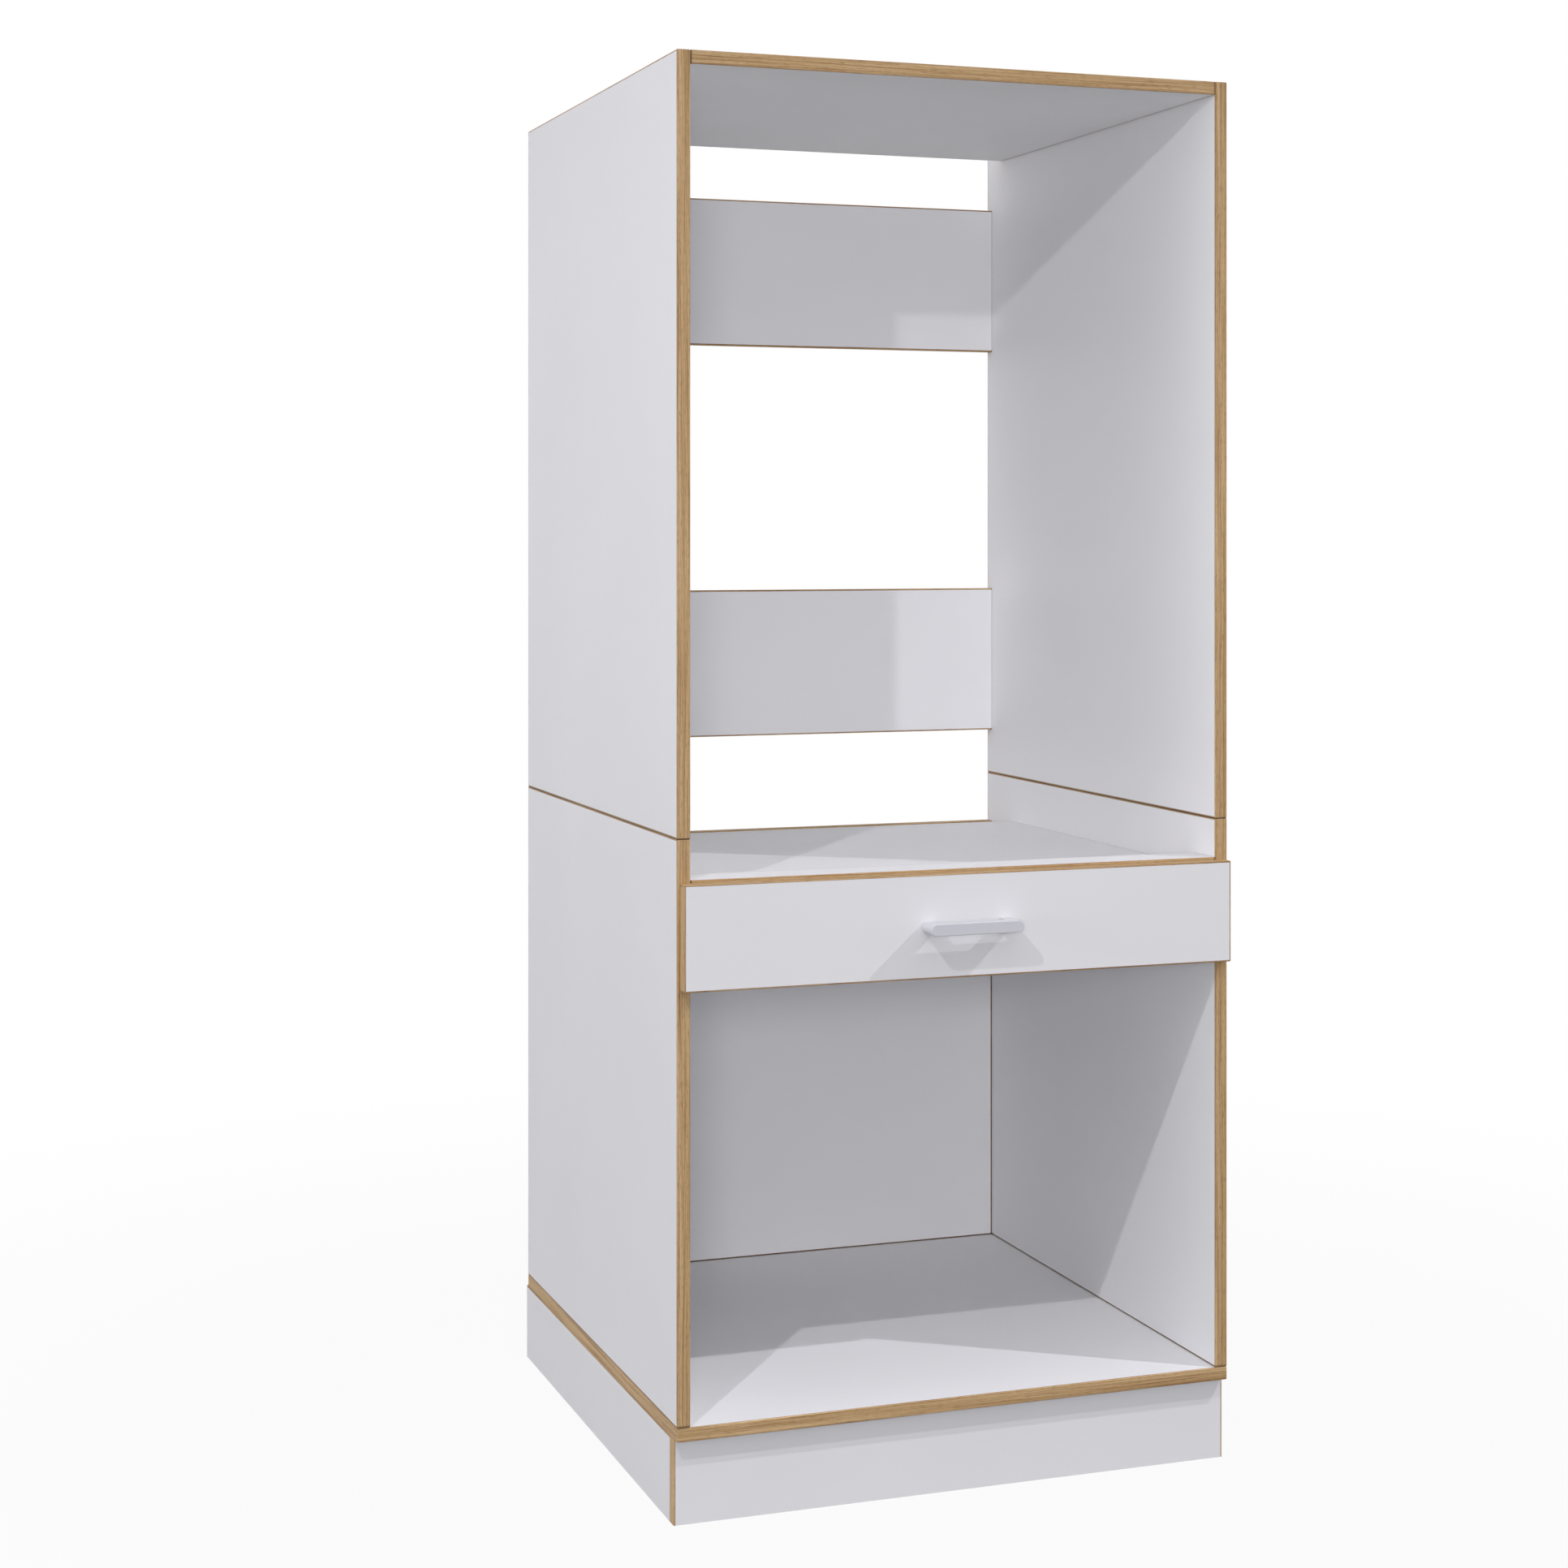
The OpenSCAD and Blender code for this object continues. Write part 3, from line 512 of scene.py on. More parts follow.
class Effect:
    """A shader node group that several finishes share, with named inputs and outputs."""

    name = ""
    inputs: dict[str, Feed] = {}
    outputs: tuple[str, ...] = ()

    def wire(self, tree: Tree, given: Any) -> dict[str, Socket]:
        """Build the group's nodes.

        Args:
            tree: The group's tree.
            given: The sockets of its inputs by name.

        Returns:
            The sockets that feed its outputs.
        """
        raise NotImplementedError

    def group(self) -> bpy.types.NodeTree:
        """Make the group once.

        Returns:
            The node group.
        """
        made = bpy.data.node_groups.get(self.name)
        if made:
            return made
        made = bpy.data.node_groups.new(self.name, "ShaderNodeTree")
        for name, value in self.inputs.items():
            kind = "NodeSocketVector" if isinstance(value, tuple) else "NodeSocketFloat"
            socket = made.interface.new_socket(name, in_out="INPUT", socket_type=kind)
            socket.default_value = value
        for name in self.outputs:
            made.interface.new_socket(name, in_out="OUTPUT", socket_type="NodeSocketFloat")
        tree = Tree(made)
        given = tree.add("NodeGroupInput").outputs
        tree.add("NodeGroupOutput", self.wire(tree, given))
        return made

    def use(self, tree: Tree, **feeds: Feed) -> Any:
        """Place the group in a material.

        Args:
            tree: The material's tree.
            feeds: Values or sockets of its inputs, by name in lower case.

        Returns:
            The sockets of its outputs by name.
        """
        named = {name.capitalize(): value for name, value in feeds.items()}
        return tree.add("ShaderNodeGroup", named, node_tree=self.group()).outputs


class WoodGrain(Effect):
    """Streaks, fibres and pores that run along a piece of wood."""

    name = "wood grain"
    inputs = {"Grain": (0.0, 0.0, 0.0), "Streaks": 520.0, "Reach": 7.0, "Pores": 1.0}
    outputs = ("Tone", "Pore", "Height")
    # Slow sway of the grain: waves per metre along each axis, and how far it goes
    sway_rates = (3.0, 60.0, 60.0)
    sway = 0.008
    # Streaks, fibres and pores: multiples of the rates along and across, and the detail
    layers = ((1.0, 1.0, 3.0), (7.0, 4.0, 2.0), (22.0, 5.0, 1.0))
    layer_roughness = 0.6
    pore_range = (0.6, 0.7)
    tone_range = (0.36, 0.64)
    streak_share = 0.72
    fibre_share = 0.28
    fibre_height = 0.5

    def wire(self, tree: Tree, given: Any) -> dict[str, Socket]:
        """Build the grain from its coordinates: along, across and depth.

        Args:
            tree: The group's tree.
            given: The sockets of its inputs by name.

        Returns:
            The streaks' tone, the pores and the height.
        """
        slow = tree.noise(tree.stretch(given["Grain"], self.sway_rates), 1.0)
        along, across, deep = tree.axes(given["Grain"])
        bend = tree.times(tree.math("SUBTRACT", slow, 0.5), self.sway)
        across = tree.math("ADD", across, bend)
        read = []
        for along_rate, across_rate, detail in self.layers:
            far = tree.times(given["Reach"], along_rate)
            wide = tree.times(given["Streaks"], across_rate)
            drawn = tree.unite(
                tree.times(along, far), tree.times(across, wide), tree.times(deep, wide)
            )
            read.append(tree.noise(drawn, 1.0, detail, self.layer_roughness))
        streak, fibre, pore = read
        pore = tree.math("MULTIPLY", tree.span(pore, *self.pore_range), given["Pores"], clamp=True)
        streak_part = tree.times(streak, self.streak_share)
        blend = tree.math("ADD", streak_part, tree.times(fibre, self.fibre_share))
        return {
            "Tone": tree.span(blend, *self.tone_range),
            "Pore": pore,
            "Height": tree.math("SUBTRACT", tree.times(fibre, self.fibre_height), pore),
        }


class PearlGrain(Effect):
    """Fine pearl texture of a pressed or sprayed surface, with a faint mottling."""

    name = "pearl grain"
    inputs = {"Place": (0.0, 0.0, 0.0), "Size": 0.0012}
    outputs = ("Mottle", "Sheen", "Height")
    grit_rate = 2.3
    grit_height = 0.5
    # Waves per metre and detail
    mottle = (5.0, 3.0)
    sheen = (24.0, 4.0)

    def wire(self, tree: Tree, given: Any) -> dict[str, Socket]:
        """Build the texture from the place on the piece.

        Args:
            tree: The group's tree.
            given: The sockets of its inputs by name.

        Returns:
            The mottling, the change of gloss and the height.
        """
        scaled = tree.scale(given["Place"], tree.math("DIVIDE", 1.0, given["Size"]))
        feeds = {"Vector": scaled, "Scale": 1.0}
        pearls = tree.add("ShaderNodeTexVoronoi", feeds, feature="SMOOTH_F1").outputs["Distance"]
        grit = tree.times(tree.noise(scaled, self.grit_rate), self.grit_height)
        return {
            "Mottle": tree.clouds(given["Place"], *self.mottle),
            "Sheen": tree.clouds(given["Place"], *self.sheen),
            "Height": tree.math("ADD", pearls, grit),
        }


class CreaseShade(Effect):
    """Painted shade: a fine dark line where one board meets the face of another, standing in for
    the shade in that crease.
    """

    name = "painted crease shade"
    inputs = {"Across": 0.0, "At": 0.0, "Width": 0.0006}
    outputs = ("Line",)

    def wire(self, tree: Tree, given: Any) -> dict[str, Socket]:
        """Build the painted crease shade from the distance to the joint, the same on both sides.

        Args:
            tree: The group's tree.
            given: The sockets of its inputs by name.

        Returns:
            The painted shade's strength.
        """
        off = tree.math("SUBTRACT", tree.math("ABSOLUTE", given["Across"]), given["At"])
        share = tree.math("DIVIDE", tree.math("ABSOLUTE", off), given["Width"])
        return {"Line": tree.math("SUBTRACT", 1.0, share, clamp=True)}


class RolledMetal(Effect):
    """Fine lines of rolled or turned metal with a cloudy plating."""

    name = "rolled metal"
    inputs = {"Place": (0.0, 0.0, 0.0), "Lines": 1800.0}
    outputs = ("Cloud", "Line")
    # Waves per metre and detail of the clouds, and how the lines are drawn out
    cloud = (60.0, 4.0)
    drawn_out = (1.0, 0.02, 1.0)

    def wire(self, tree: Tree, given: Any) -> dict[str, Socket]:
        """Build lines along the depth and clouds in the plating.

        Args:
            tree: The group's tree.
            given: The sockets of its inputs by name.

        Returns:
            The clouds and the lines.
        """
        drawn = tree.scale(tree.stretch(given["Place"], self.drawn_out), given["Lines"])
        clouds = tree.clouds(given["Place"], *self.cloud)
        return {"Cloud": clouds, "Line": tree.noise(drawn, 1.0)}


@dataclass(frozen=True)
class Finish:
    """What all finishes share: the record's slot, the surface's numbers and its painted crease
    shade.

    relief is the depth of its bumps and bumps their strength. Each crease shade is the axis across
    a thin dark line of painted shade where boards meet, the line's place on it and its width.
    """

    name: str
    slot: Slot
    roughness: float = 0.5
    metallic: float = 0.0
    specular: float = 0.5
    relief: float = 0.00003
    bumps: float = 0.35
    # Colour of the painted shade in the creases where boards meet
    crease_shade: RGB = screen(120, 116, 112)
    crease_shades: tuple[tuple[Axis, float, float], ...] = ()

    def surface(self, tree: Tree) -> dict[str, Feed]:
        """Build what changes over the surface.

        Args:
            tree: The material's tree.

        Returns:
            Values or sockets for the shader's inputs by name.
        """
        raise NotImplementedError

    def with_crease_shade(self, tree: Tree, colour: Socket) -> Socket:
        """Paint the shade of the creases where boards meet over a colour.

        Args:
            tree: The material's tree.
            colour: The colour's socket.

        Returns:
            The socket of the colour with its painted crease shade.
        """
        for axis, at, width in self.crease_shades:
            across = tree.axes(tree.place())[axis.value]
            # Painted shade of the crease where two boards meet
            line = CreaseShade().use(tree, across=across, at=at, width=width)["Line"]
            colour = tree.mix(line, colour, self.crease_shade)
        return colour

    def gloss(self, tree: Tree, value: Socket, start: float, end: float) -> Socket:
        """Add a change to the roughness that goes from start to end as a value rises to 1."""
        return tree.span(value, 0.0, 1.0, self.roughness + start, self.roughness + end)

    def material(self) -> bpy.types.Material:
        """Make the material once.

        Returns:
            The material.
        """
        made = bpy.data.materials.get(self.name)
        if made:
            return made
        made = bpy.data.materials.new(self.name)
        tree = Tree.of(made)
        feeds = {
            "Roughness": self.roughness,
            "Metallic": self.metallic,
            "Specular IOR Level": self.specular,
            **self.surface(tree),
        }
        shader = tree.add("ShaderNodeBsdfPrincipled", feeds)
        tree.add("ShaderNodeOutputMaterial", {"Surface": shader.outputs[0]})
        return made


@dataclass(frozen=True)
class PearlWhite(Finish):
    """White with a pearl texture: board facing, foil or powder coat."""

    base: RGB = screen(236, 236, 237)
    shade: RGB = screen(234, 234, 235)
    pearl: float = 0.0011
    gloss_play: float = 0.02

    def surface(self, tree: Tree) -> dict[str, Feed]:
        """Build the mottled white and the pearl texture.

        Args:
            tree: The material's tree.

        Returns:
            Colour, roughness and normal.
        """
        grain = PearlGrain().use(tree, place=tree.place(), size=self.pearl)
        colour = tree.mix(grain["Mottle"], self.base, self.shade)
        return {
            "Base Color": self.with_crease_shade(tree, colour),
            "Roughness": self.gloss(tree, grain["Sheen"], -self.gloss_play, self.gloss_play),
            "Normal": tree.bump(grain["Height"], self.relief, self.bumps),
        }


@dataclass(frozen=True)
class OakEdging(Finish):
    """Lacquered oak strips with streaks, broad bands, pores, a thin glue line and painted shade in
    the creases where they meet other strips or boards.
    """

    # Colour of the painted crease shade on the oak strips
    crease_shade: RGB = screen(70, 44, 24)
    light: RGB = screen(213, 184, 140)
    middle: RGB = screen(192, 159, 114)
    dark: RGB = screen(148, 112, 70)
    pore: RGB = screen(96, 68, 40)
    glue: RGB = screen(88, 62, 38)
    streaks: float = 480.0
    reach: float = 4.0
    band_rates: RGB = (1.6, 90.0, 90.0)
    band_range: tuple[float, float] = (0.45, 0.75)
    band_share: float = 0.35
    pore_share: float = 0.75
    glue_depths: tuple[float, float] = (0.0015, 0.0018)
    glue_share: float = 0.85
    dulling: float = 0.1
    relief: float = 0.00006
    bumps: float = 0.5

    def surface(self, tree: Tree) -> dict[str, Feed]:
        """Build the grain along each strip from the strip's own attribute.

        Args:
            tree: The material's tree.

        Returns:
            Colour, roughness and normal.
        """
        grain = tree.add(
            "ShaderNodeAttribute", attribute_name="grain", attribute_type="GEOMETRY"
        ).outputs["Vector"]
        wood = WoodGrain().use(tree, grain=grain, streaks=self.streaks, reach=self.reach)
        tone = wood["Tone"]
        colour = tree.mix(tree.span(tone, 0.0, 0.5), self.dark, self.middle)
        colour = tree.mix(tree.span(tone, 0.5, 1.0), colour, self.light)
        bands = tree.noise(tree.stretch(grain, self.band_rates), 1.0, 1.0)
        band = tree.span(bands, *self.band_range, 0.0, self.band_share)
        colour = tree.mix(band, colour, self.dark)
        colour = tree.mix(tree.times(wood["Pore"], self.pore_share), colour, self.pore)
        depth = tree.axes(grain)[2]
        glue = tree.span(depth, *self.glue_depths, 0.0, self.glue_share)
        return {
            "Base Color": self.with_crease_shade(tree, tree.mix(glue, colour, self.glue)),
            "Roughness": self.gloss(tree, tone, self.dulling, 0.0),
            "Normal": tree.bump(wood["Height"], self.relief, self.bumps),
        }


@dataclass(frozen=True)
class Beech(Finish):
    """Planed beech with short dark flecks."""

    light: RGB = screen(224, 190, 150)
    dark: RGB = screen(196, 154, 112)
    fleck: RGB = screen(140, 98, 64)
    streaks: float = 300.0
    reach: float = 9.0
    pores: float = 0.8
    fleck_share: float = 0.5
    dulling: float = 0.08
    relief: float = 0.00005
    bumps: float = 0.4

    def surface(self, tree: Tree) -> dict[str, Feed]:
        """Build the grain along the height of the piece.

        Args:
            tree: The material's tree.

        Returns:
            Colour, roughness and normal.
        """
        x, y, z = tree.axes(tree.place())
        rates = {"streaks": self.streaks, "reach": self.reach, "pores": self.pores}
        wood = WoodGrain().use(tree, grain=tree.unite(z, x, y), **rates)
        colour = tree.mix(wood["Tone"], self.dark, self.light)
        fleck = tree.times(wood["Pore"], self.fleck_share)
        return {
            "Base Color": tree.mix(fleck, colour, self.fleck),
            "Roughness": self.gloss(tree, wood["Tone"], self.dulling, 0.0),
            "Normal": tree.bump(wood["Height"], self.relief, self.bumps),
        }


@dataclass(frozen=True)
class Plated(Finish):
    """Zinc plated or rolled steel."""

    base: RGB = screen(196, 198, 202)
    cloud: RGB = screen(176, 179, 184)
    lines: float = 1800.0
    play_range: tuple[float, float] = (0.2, 0.8)
    gloss_play: tuple[float, float] = (-0.06, 0.1)
    relief: float = 0.00002
    bumps: float = 0.3

    def surface(self, tree: Tree) -> dict[str, Feed]:
        """Build the clouds of the plating and its fine lines.

        Args:
            tree: The material's tree.

        Returns:
            Colour, roughness and normal.
        """
        metal = RolledMetal().use(tree, place=tree.place(), lines=self.lines)
        rough = tree.times(tree.math("ADD", metal["Cloud"], metal["Line"]), 0.5)
        ends = [self.roughness + play for play in self.gloss_play]
        return {
            "Base Color": tree.mix(metal["Cloud"], self.base, self.cloud),
            "Roughness": tree.span(rough, *self.play_range, *ends),
            "Normal": tree.bump(metal["Line"], self.relief, self.bumps),
        }


# Half of the width between the sides, where the ends of the cross boards meet them
HALF_INNER = abs(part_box("lower_left_side")[1].x)
# Heights where the lower and the upper unit stand
BASE_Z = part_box("lower_left_edging")[0].z
UNIT_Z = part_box("upper_left_edging")[0].z
# Painted crease shade where boards meet: on the boards between the sides, on their edging and on
# the sides' edging
BOARD_CREASE_SHADE = ((Axis.X, HALF_INNER, 0.0008),)
CROSS_CREASE_SHADE = ((Axis.X, HALF_INNER, 0.0026), (Axis.Z, BASE_Z, 0.0035))
SIDE_CREASE_SHADE = ((Axis.Z, UNIT_Z, 0.0014), (Axis.Z, BASE_Z, 0.0035))

FACING = PearlWhite("melamine facing", Slot.WHITE_BOARD, roughness=0.6, specular=0.15)
# The cross boards carry painted crease shade at their ends
CROSS_FACING = replace(FACING, name="melamine facing of the cross boards", crease_shades=BOARD_CREASE_SHADE)
FOIL = PearlWhite(
    "foil of the drawer box",
    Slot.DRAWER_BOARD,
    roughness=0.38,
    base=screen(228, 227, 230),
    shade=screen(225, 224, 227),
    pearl=0.0016,
    relief=0.00002,
)
COAT = PearlWhite(
    "white powder coat",
    Slot.HANDLE_WHITE,
    roughness=0.36,
    base=screen(210, 210, 215),
    shade=screen(208, 208, 213),
    pearl=0.0009,
    bumps=0.3,
    gloss_play=0.04,
)
OAK = OakEdging("oak edging", Slot.OAK_EDGING, roughness=0.48, specular=0.25)
# Oak strips with painted crease shade at their joints
SIDE_OAK = replace(OAK, name="oak edging of the sides", crease_shades=SIDE_CREASE_SHADE)
CROSS_OAK = replace(OAK, name="oak edging of the cross boards", crease_shades=CROSS_CREASE_SHADE)
BEECH = Beech("planed beech", Slot.BEECH, roughness=0.6)
ZINC = Plated("zinc plating", Slot.ZINC, roughness=0.36, metallic=1.0)
STEEL = Plated("rolled runner steel", Slot.RUNNER_STEEL, roughness=0.3, metallic=1.0, lines=2600.0)


def carry(piece: Piece, body: str, finish: Finish, *nodes: str) -> None:
    """Dress a new piece, fix it to its body and let it stand for its nodes.

    Args:
        piece: The finished piece.
        body: The CAD body that it moves with.
        finish: Its finish, which names the record's slot.
        nodes: The CAD nodes that it stands for.
    """
    piece.data.materials.clear()
    piece.data.materials.append(finish.material())
    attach(piece, body)
    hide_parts(*nodes)
    log.info("%s rides on %s", piece.name, body)


def dress(finish: Finish, *nodes: str) -> None:
    """Give CAD nodes their finish.

    Args:
        finish: The finish.
        nodes: The CAD nodes that keep their shape.
    """
    for node in nodes:
        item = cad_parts[node]
        for place in item.material_slots:
            place.material = finish.material()
        if not item.material_slots:
            item.data.materials.append(finish.material())
        log.info("%s keeps its CAD shape", node)


# Boards and their edging

STRIP_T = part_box("drawer_front")[0].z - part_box("drawer_front_edging")[0].z
STRIP_GAP = 0.0001
ARRIS = 0.0015
ARRIS_STEPS = 4
# Step along the grain from one strip to the next, so that no two look the same
GRAIN_SHIFT = 1.37

# Which of two opposite edges or ends of a board have a strip
NONE = (False, False)
LAST = (False, True)
BOTH = (True, True)


@dataclass(frozen=True)
class Strip:
    """One oak strip: its corners, its directions and which of its ends are rounded."""

    low: Vector
    high: Vector
    thick: Axis
    along: Axis
    face: Axis
    outwards: int
    ends: tuple[bool, bool]

    def rounded(self, edge: Edge) -> bool:
        """Tell whether an edge of the strip is rounded: all but those at the board.

        Args:
            edge: An edge of the plain strip.

        Returns:
            Whether it gets the arris.
        """
        glued = self.low if self.outwards > 0 else self.high
        if lies_at(edge, self.face, glued[self.face.value]):
            return False
        last = lies_at(edge, self.along, self.high[self.along.value])
        return runs(edge, self.along) or self.ends[last]

    def build(self, name: str, shift: float) -> Piece:
        """Model the strip and write its grain.

        Args:
            name: Name of the strip.
            shift: Offset of the grain along the strip.

        Returns:
            The strip.
        """
        strip = add_block(name, self.low, self.high)
        round_edges(strip, ARRIS, ARRIS_STEPS, self.rounded)
        face, thick, along = self.face.value, self.thick.value, self.along.value
        outer = self.high[face] if self.outwards > 0 else self.low[face]
        middle = (self.low[thick] + self.high[thick]) / 2
        grain = strip.data.attributes.new("grain", "FLOAT_VECTOR", "POINT")
        for corner, value in zip(strip.data.vertices, grain.data):
            place = corner.co
            value.vector = (place[along] + shift, place[thick] - middle, abs(place[face] - outer))
        return strip


@dataclass(frozen=True)
class Edging:
    """Oak edging of one board, laid out as its node in the frame.

    run is the way that the through strips run. through tells which of the two long edges have
    one, and butt which of the two ends have a strip between them.
    """

    node: str
    thick: Axis
    run: Axis
    through: tuple[bool, bool] = BOTH
    butt: tuple[bool, bool] = BOTH
    finish: OakEdging = OAK

    def strips(self) -> list[Strip]:
        """Lay out the strips.

        Returns:
            The strips of the board.
        """
        low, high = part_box(self.node)
        cross = next(axis for axis in Axis if axis not in (self.thick, self.run))
        inset = STRIP_T + STRIP_GAP
        made = []
        for face, along, present, ends in (
            (cross, self.run, self.through, self.butt),
            (self.run, cross, self.butt, NONE),
        ):
            if along is cross:
                low, high = low.copy(), high.copy()
                low[cross.value] += inset * self.through[0]
                high[cross.value] -= inset * self.through[1]
            for end, outwards in enumerate((-1, 1)):
                if present[end]:
                    corners = [low.copy(), high.copy()]
                    corners[1 - end][face.value] = corners[end][face.value] - outwards * STRIP_T
                    made.append(Strip(*corners, self.thick, along, face, outwards, ends))
        return made

    def build(self, body: str, number: int) -> int:
        """Model all strips of the board as one piece.

        Args:
            body: The body that the board belongs to.
            number: Number of strips made before.

        Returns:
            Number of strips made so far.
        """
        pieces = []
        for strip in self.strips():
            number += 1
            pieces.append(strip.build(f"strip.{number}", number * GRAIN_SHIFT))
        piece = join(f"{self.node}.strips", pieces)
        shade(piece)
        carry(piece, body, self.finish, self.node)
        return number


@dataclass
class BoardGroup:
    """White boards that keep their CAD shape, and their oak edging."""

    body: str
    boards: tuple[str, ...]
    cross_boards: tuple[str, ...]
    edgings: tuple[Edging, ...]

    def build(self, number: int) -> int:
        """Build the edging and dress the boards.

        Args:
            number: Number of strips made before.

        Returns:
            Number of strips made so far.
        """
        for edging in self.edgings:
            number = edging.build(self.body, number)
        dress(FACING, *self.boards)
        dress(CROSS_FACING, *self.cross_boards)
        return number


PLINTH = BoardGroup(
    "cabinet",
    ("plinth_front", "plinth_left", "plinth_right", "plinth_back"),
    (),
    (
        Edging("plinth_front_edging", Axis.Y, Axis.Z, butt=LAST),
        Edging("plinth_left_edging", Axis.X, Axis.Z, through=LAST, butt=LAST),
        Edging("plinth_right_edging", Axis.X, Axis.Z, through=LAST, butt=LAST),
        Edging("plinth_back_edging", Axis.Y, Axis.X, through=LAST, butt=NONE),
    ),
)
LOWER_UNIT = BoardGroup(
    "cabinet",
    ("bottom_plate", "lower_left_side", "lower_right_side", "lower_back_panel"),
    ("machine_shelf", "stop_strip"),
    (
        Edging("bottom_plate_edging", Axis.Z, Axis.X),
        Edging("lower_left_edging", Axis.X, Axis.Z, finish=SIDE_OAK),
        Edging("lower_right_edging", Axis.X, Axis.Z, finish=SIDE_OAK),
        Edging("lower_back_edging", Axis.Y, Axis.X, finish=CROSS_OAK),
        Edging("machine_shelf_edging", Axis.Z, Axis.X, butt=NONE, finish=CROSS_OAK),
        Edging("stop_strip_edging", Axis.Z, Axis.X, butt=NONE, finish=CROSS_OAK),
    ),
)
UPPER_UNIT = BoardGroup(
    "cabinet",
    ("upper_left_side", "upper_right_side", "top_plate"),
    ("upper_back_rail", "lower_back_rail"),
    (
        Edging("upper_left_edging", Axis.X, Axis.Z, finish=SIDE_OAK),
        Edging("upper_right_edging", Axis.X, Axis.Z, finish=SIDE_OAK),
        Edging("top_plate_edging", Axis.Z, Axis.X, finish=CROSS_OAK),
        Edging("upper_rail_edging", Axis.Y, Axis.X, butt=NONE, finish=CROSS_OAK),
        Edging("lower_rail_edging", Axis.Y, Axis.X, butt=NONE, finish=CROSS_OAK),
    ),
)
DRAWER_FRONT = BoardGroup(
    "drawer", ("drawer_front",), (), (Edging("drawer_front_edging", Axis.Y, Axis.X),)
)


# Drawer


@dataclass
class DrawerBox:
    """Foil-wrapped boards of the drawer box, with rounded upper edges."""

    sides: tuple[str, ...] = ("drawer_left_side", "drawer_right_side")
    ends: tuple[str, ...] = ("drawer_box_front", "drawer_box_back")
    lip: float = 0.0025
    lip_steps: int = 5

    def build(self) -> None:
        """Model the four boards and dress the bottom."""
        for nodes, along in ((self.sides, Axis.Y), (self.ends, Axis.X)):
            for node in nodes:
                low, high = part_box(node)
                board = add_block(f"{node}.board", low, high)
                round_edges(
                    board,
                    self.lip,
                    self.lip_steps,
                    lambda edge: lies_at(edge, Axis.Z, high.z) and runs(edge, along),
                )
                shade(board)
                carry(board, "drawer", FOIL, node)
        dress(FOIL, "drawer_bottom")


@dataclass
class Handle:
    """White bow handle with round ends and softened rims."""

    bar_depth: float = 0.012
    leg_width: float = 0.018
    inner_radius: float = 0.003
    inner_steps: int = 8
    rim: float = 0.0011
    rim_steps: int = 4
    outline: int = 64

    def bar(self, low: Vector, high: Vector) -> Piece:
        """Model the long block with round ends, as deep as the handle.

        Args:
            low: Lowest corner of the handle.
            high: Its highest corner.

        Returns:
            The block.
        """
        radius = (high.z - low.z) / 2
        middle = (low + high) / 2
        half_step = math.pi / self.outline
        clear_selection()
        bpy.ops.mesh.primitive_circle_add(
            vertices=self.outline,
            radius=radius,
            fill_type="NGON",
            rotation=(0, 0, half_step),
        )
        block = settle("handle.bow")
        reach = (high.x - low.x) / 2 - radius
        for side in Side:
            with editing(block, "VERT") as mesh:
                select_where(block, mesh.verts, lambda v: v.co.x * side.value > 0)
                bpy.ops.transform.translate(value=(side.value * reach, 0, 0))
        with editing(block, "FACE"):
            bpy.ops.mesh.select_all(action="SELECT")
            rise = (0, 0, high.y - low.y)
            bpy.ops.mesh.extrude_region_move(TRANSFORM_OT_translate={"value": rise})
        stand = Matrix.Translation((middle.x, high.y, middle.z))
        block.data.transform(stand @ Matrix.Rotation(math.pi / 2, 4, "X"))
        face_outwards(block)
        return block

    def build(self) -> None:
        """Model the handle: the block, the grip opening and the soft rims."""
        low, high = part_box("handle")
        bow = self.bar(low, high)
        front = low.y + self.bar_depth
        # The opening's block reaches past the handle by this much
        spare = self.bar_depth
        opening = add_block(
            "handle.opening",
            Vector((low.x + self.leg_width, front, low.z - spare)),
            Vector((high.x - self.leg_width, high.y + spare, high.z + spare)),
        )
        round_edges(
            opening,
            self.inner_radius,
            self.inner_steps,
            lambda edge: lies_at(edge, Axis.Y, front) and runs(edge, Axis.Z),
        )
        cut(bow, opening)
        face_outwards(bow)
        soften(bow, self.rim, self.rim_steps)
        shade(bow)
        carry(bow, "drawer", COAT, "handle")


# Fasteners

UP = Vector((0, 0, 1))
FORWARDS = Vector((0, -1, 0))


def both(x: float) -> tuple[float, float]:
    """Return the places at a distance from the middle, on both sides of it."""
    return (-x, x)


def middle_of(node: str, axis: Axis) -> float:
    """Return the middle of a CAD node along an axis."""
    low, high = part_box(node)
    return (low[axis.value] + high[axis.value]) / 2


@dataclass(frozen=True)
class Fasteners:
    """Equal zinc pieces of one node: one is modelled and copied to all its places."""

    node: str
    body: str
    places: Places

    def master(self) -> Piece:
        """Model one piece on the Z axis.

        Returns:
            The piece.
        """
        raise NotImplementedError

    def build(self) -> None:
        """Model one piece, copy it to all places and dress the copies."""
        places = [facing(place, way) for place, way in self.places]
        piece = repeat(self.master(), f"{self.node}.set", places)
        shade(piece)
        carry(piece, self.body, ZINC, self.node)


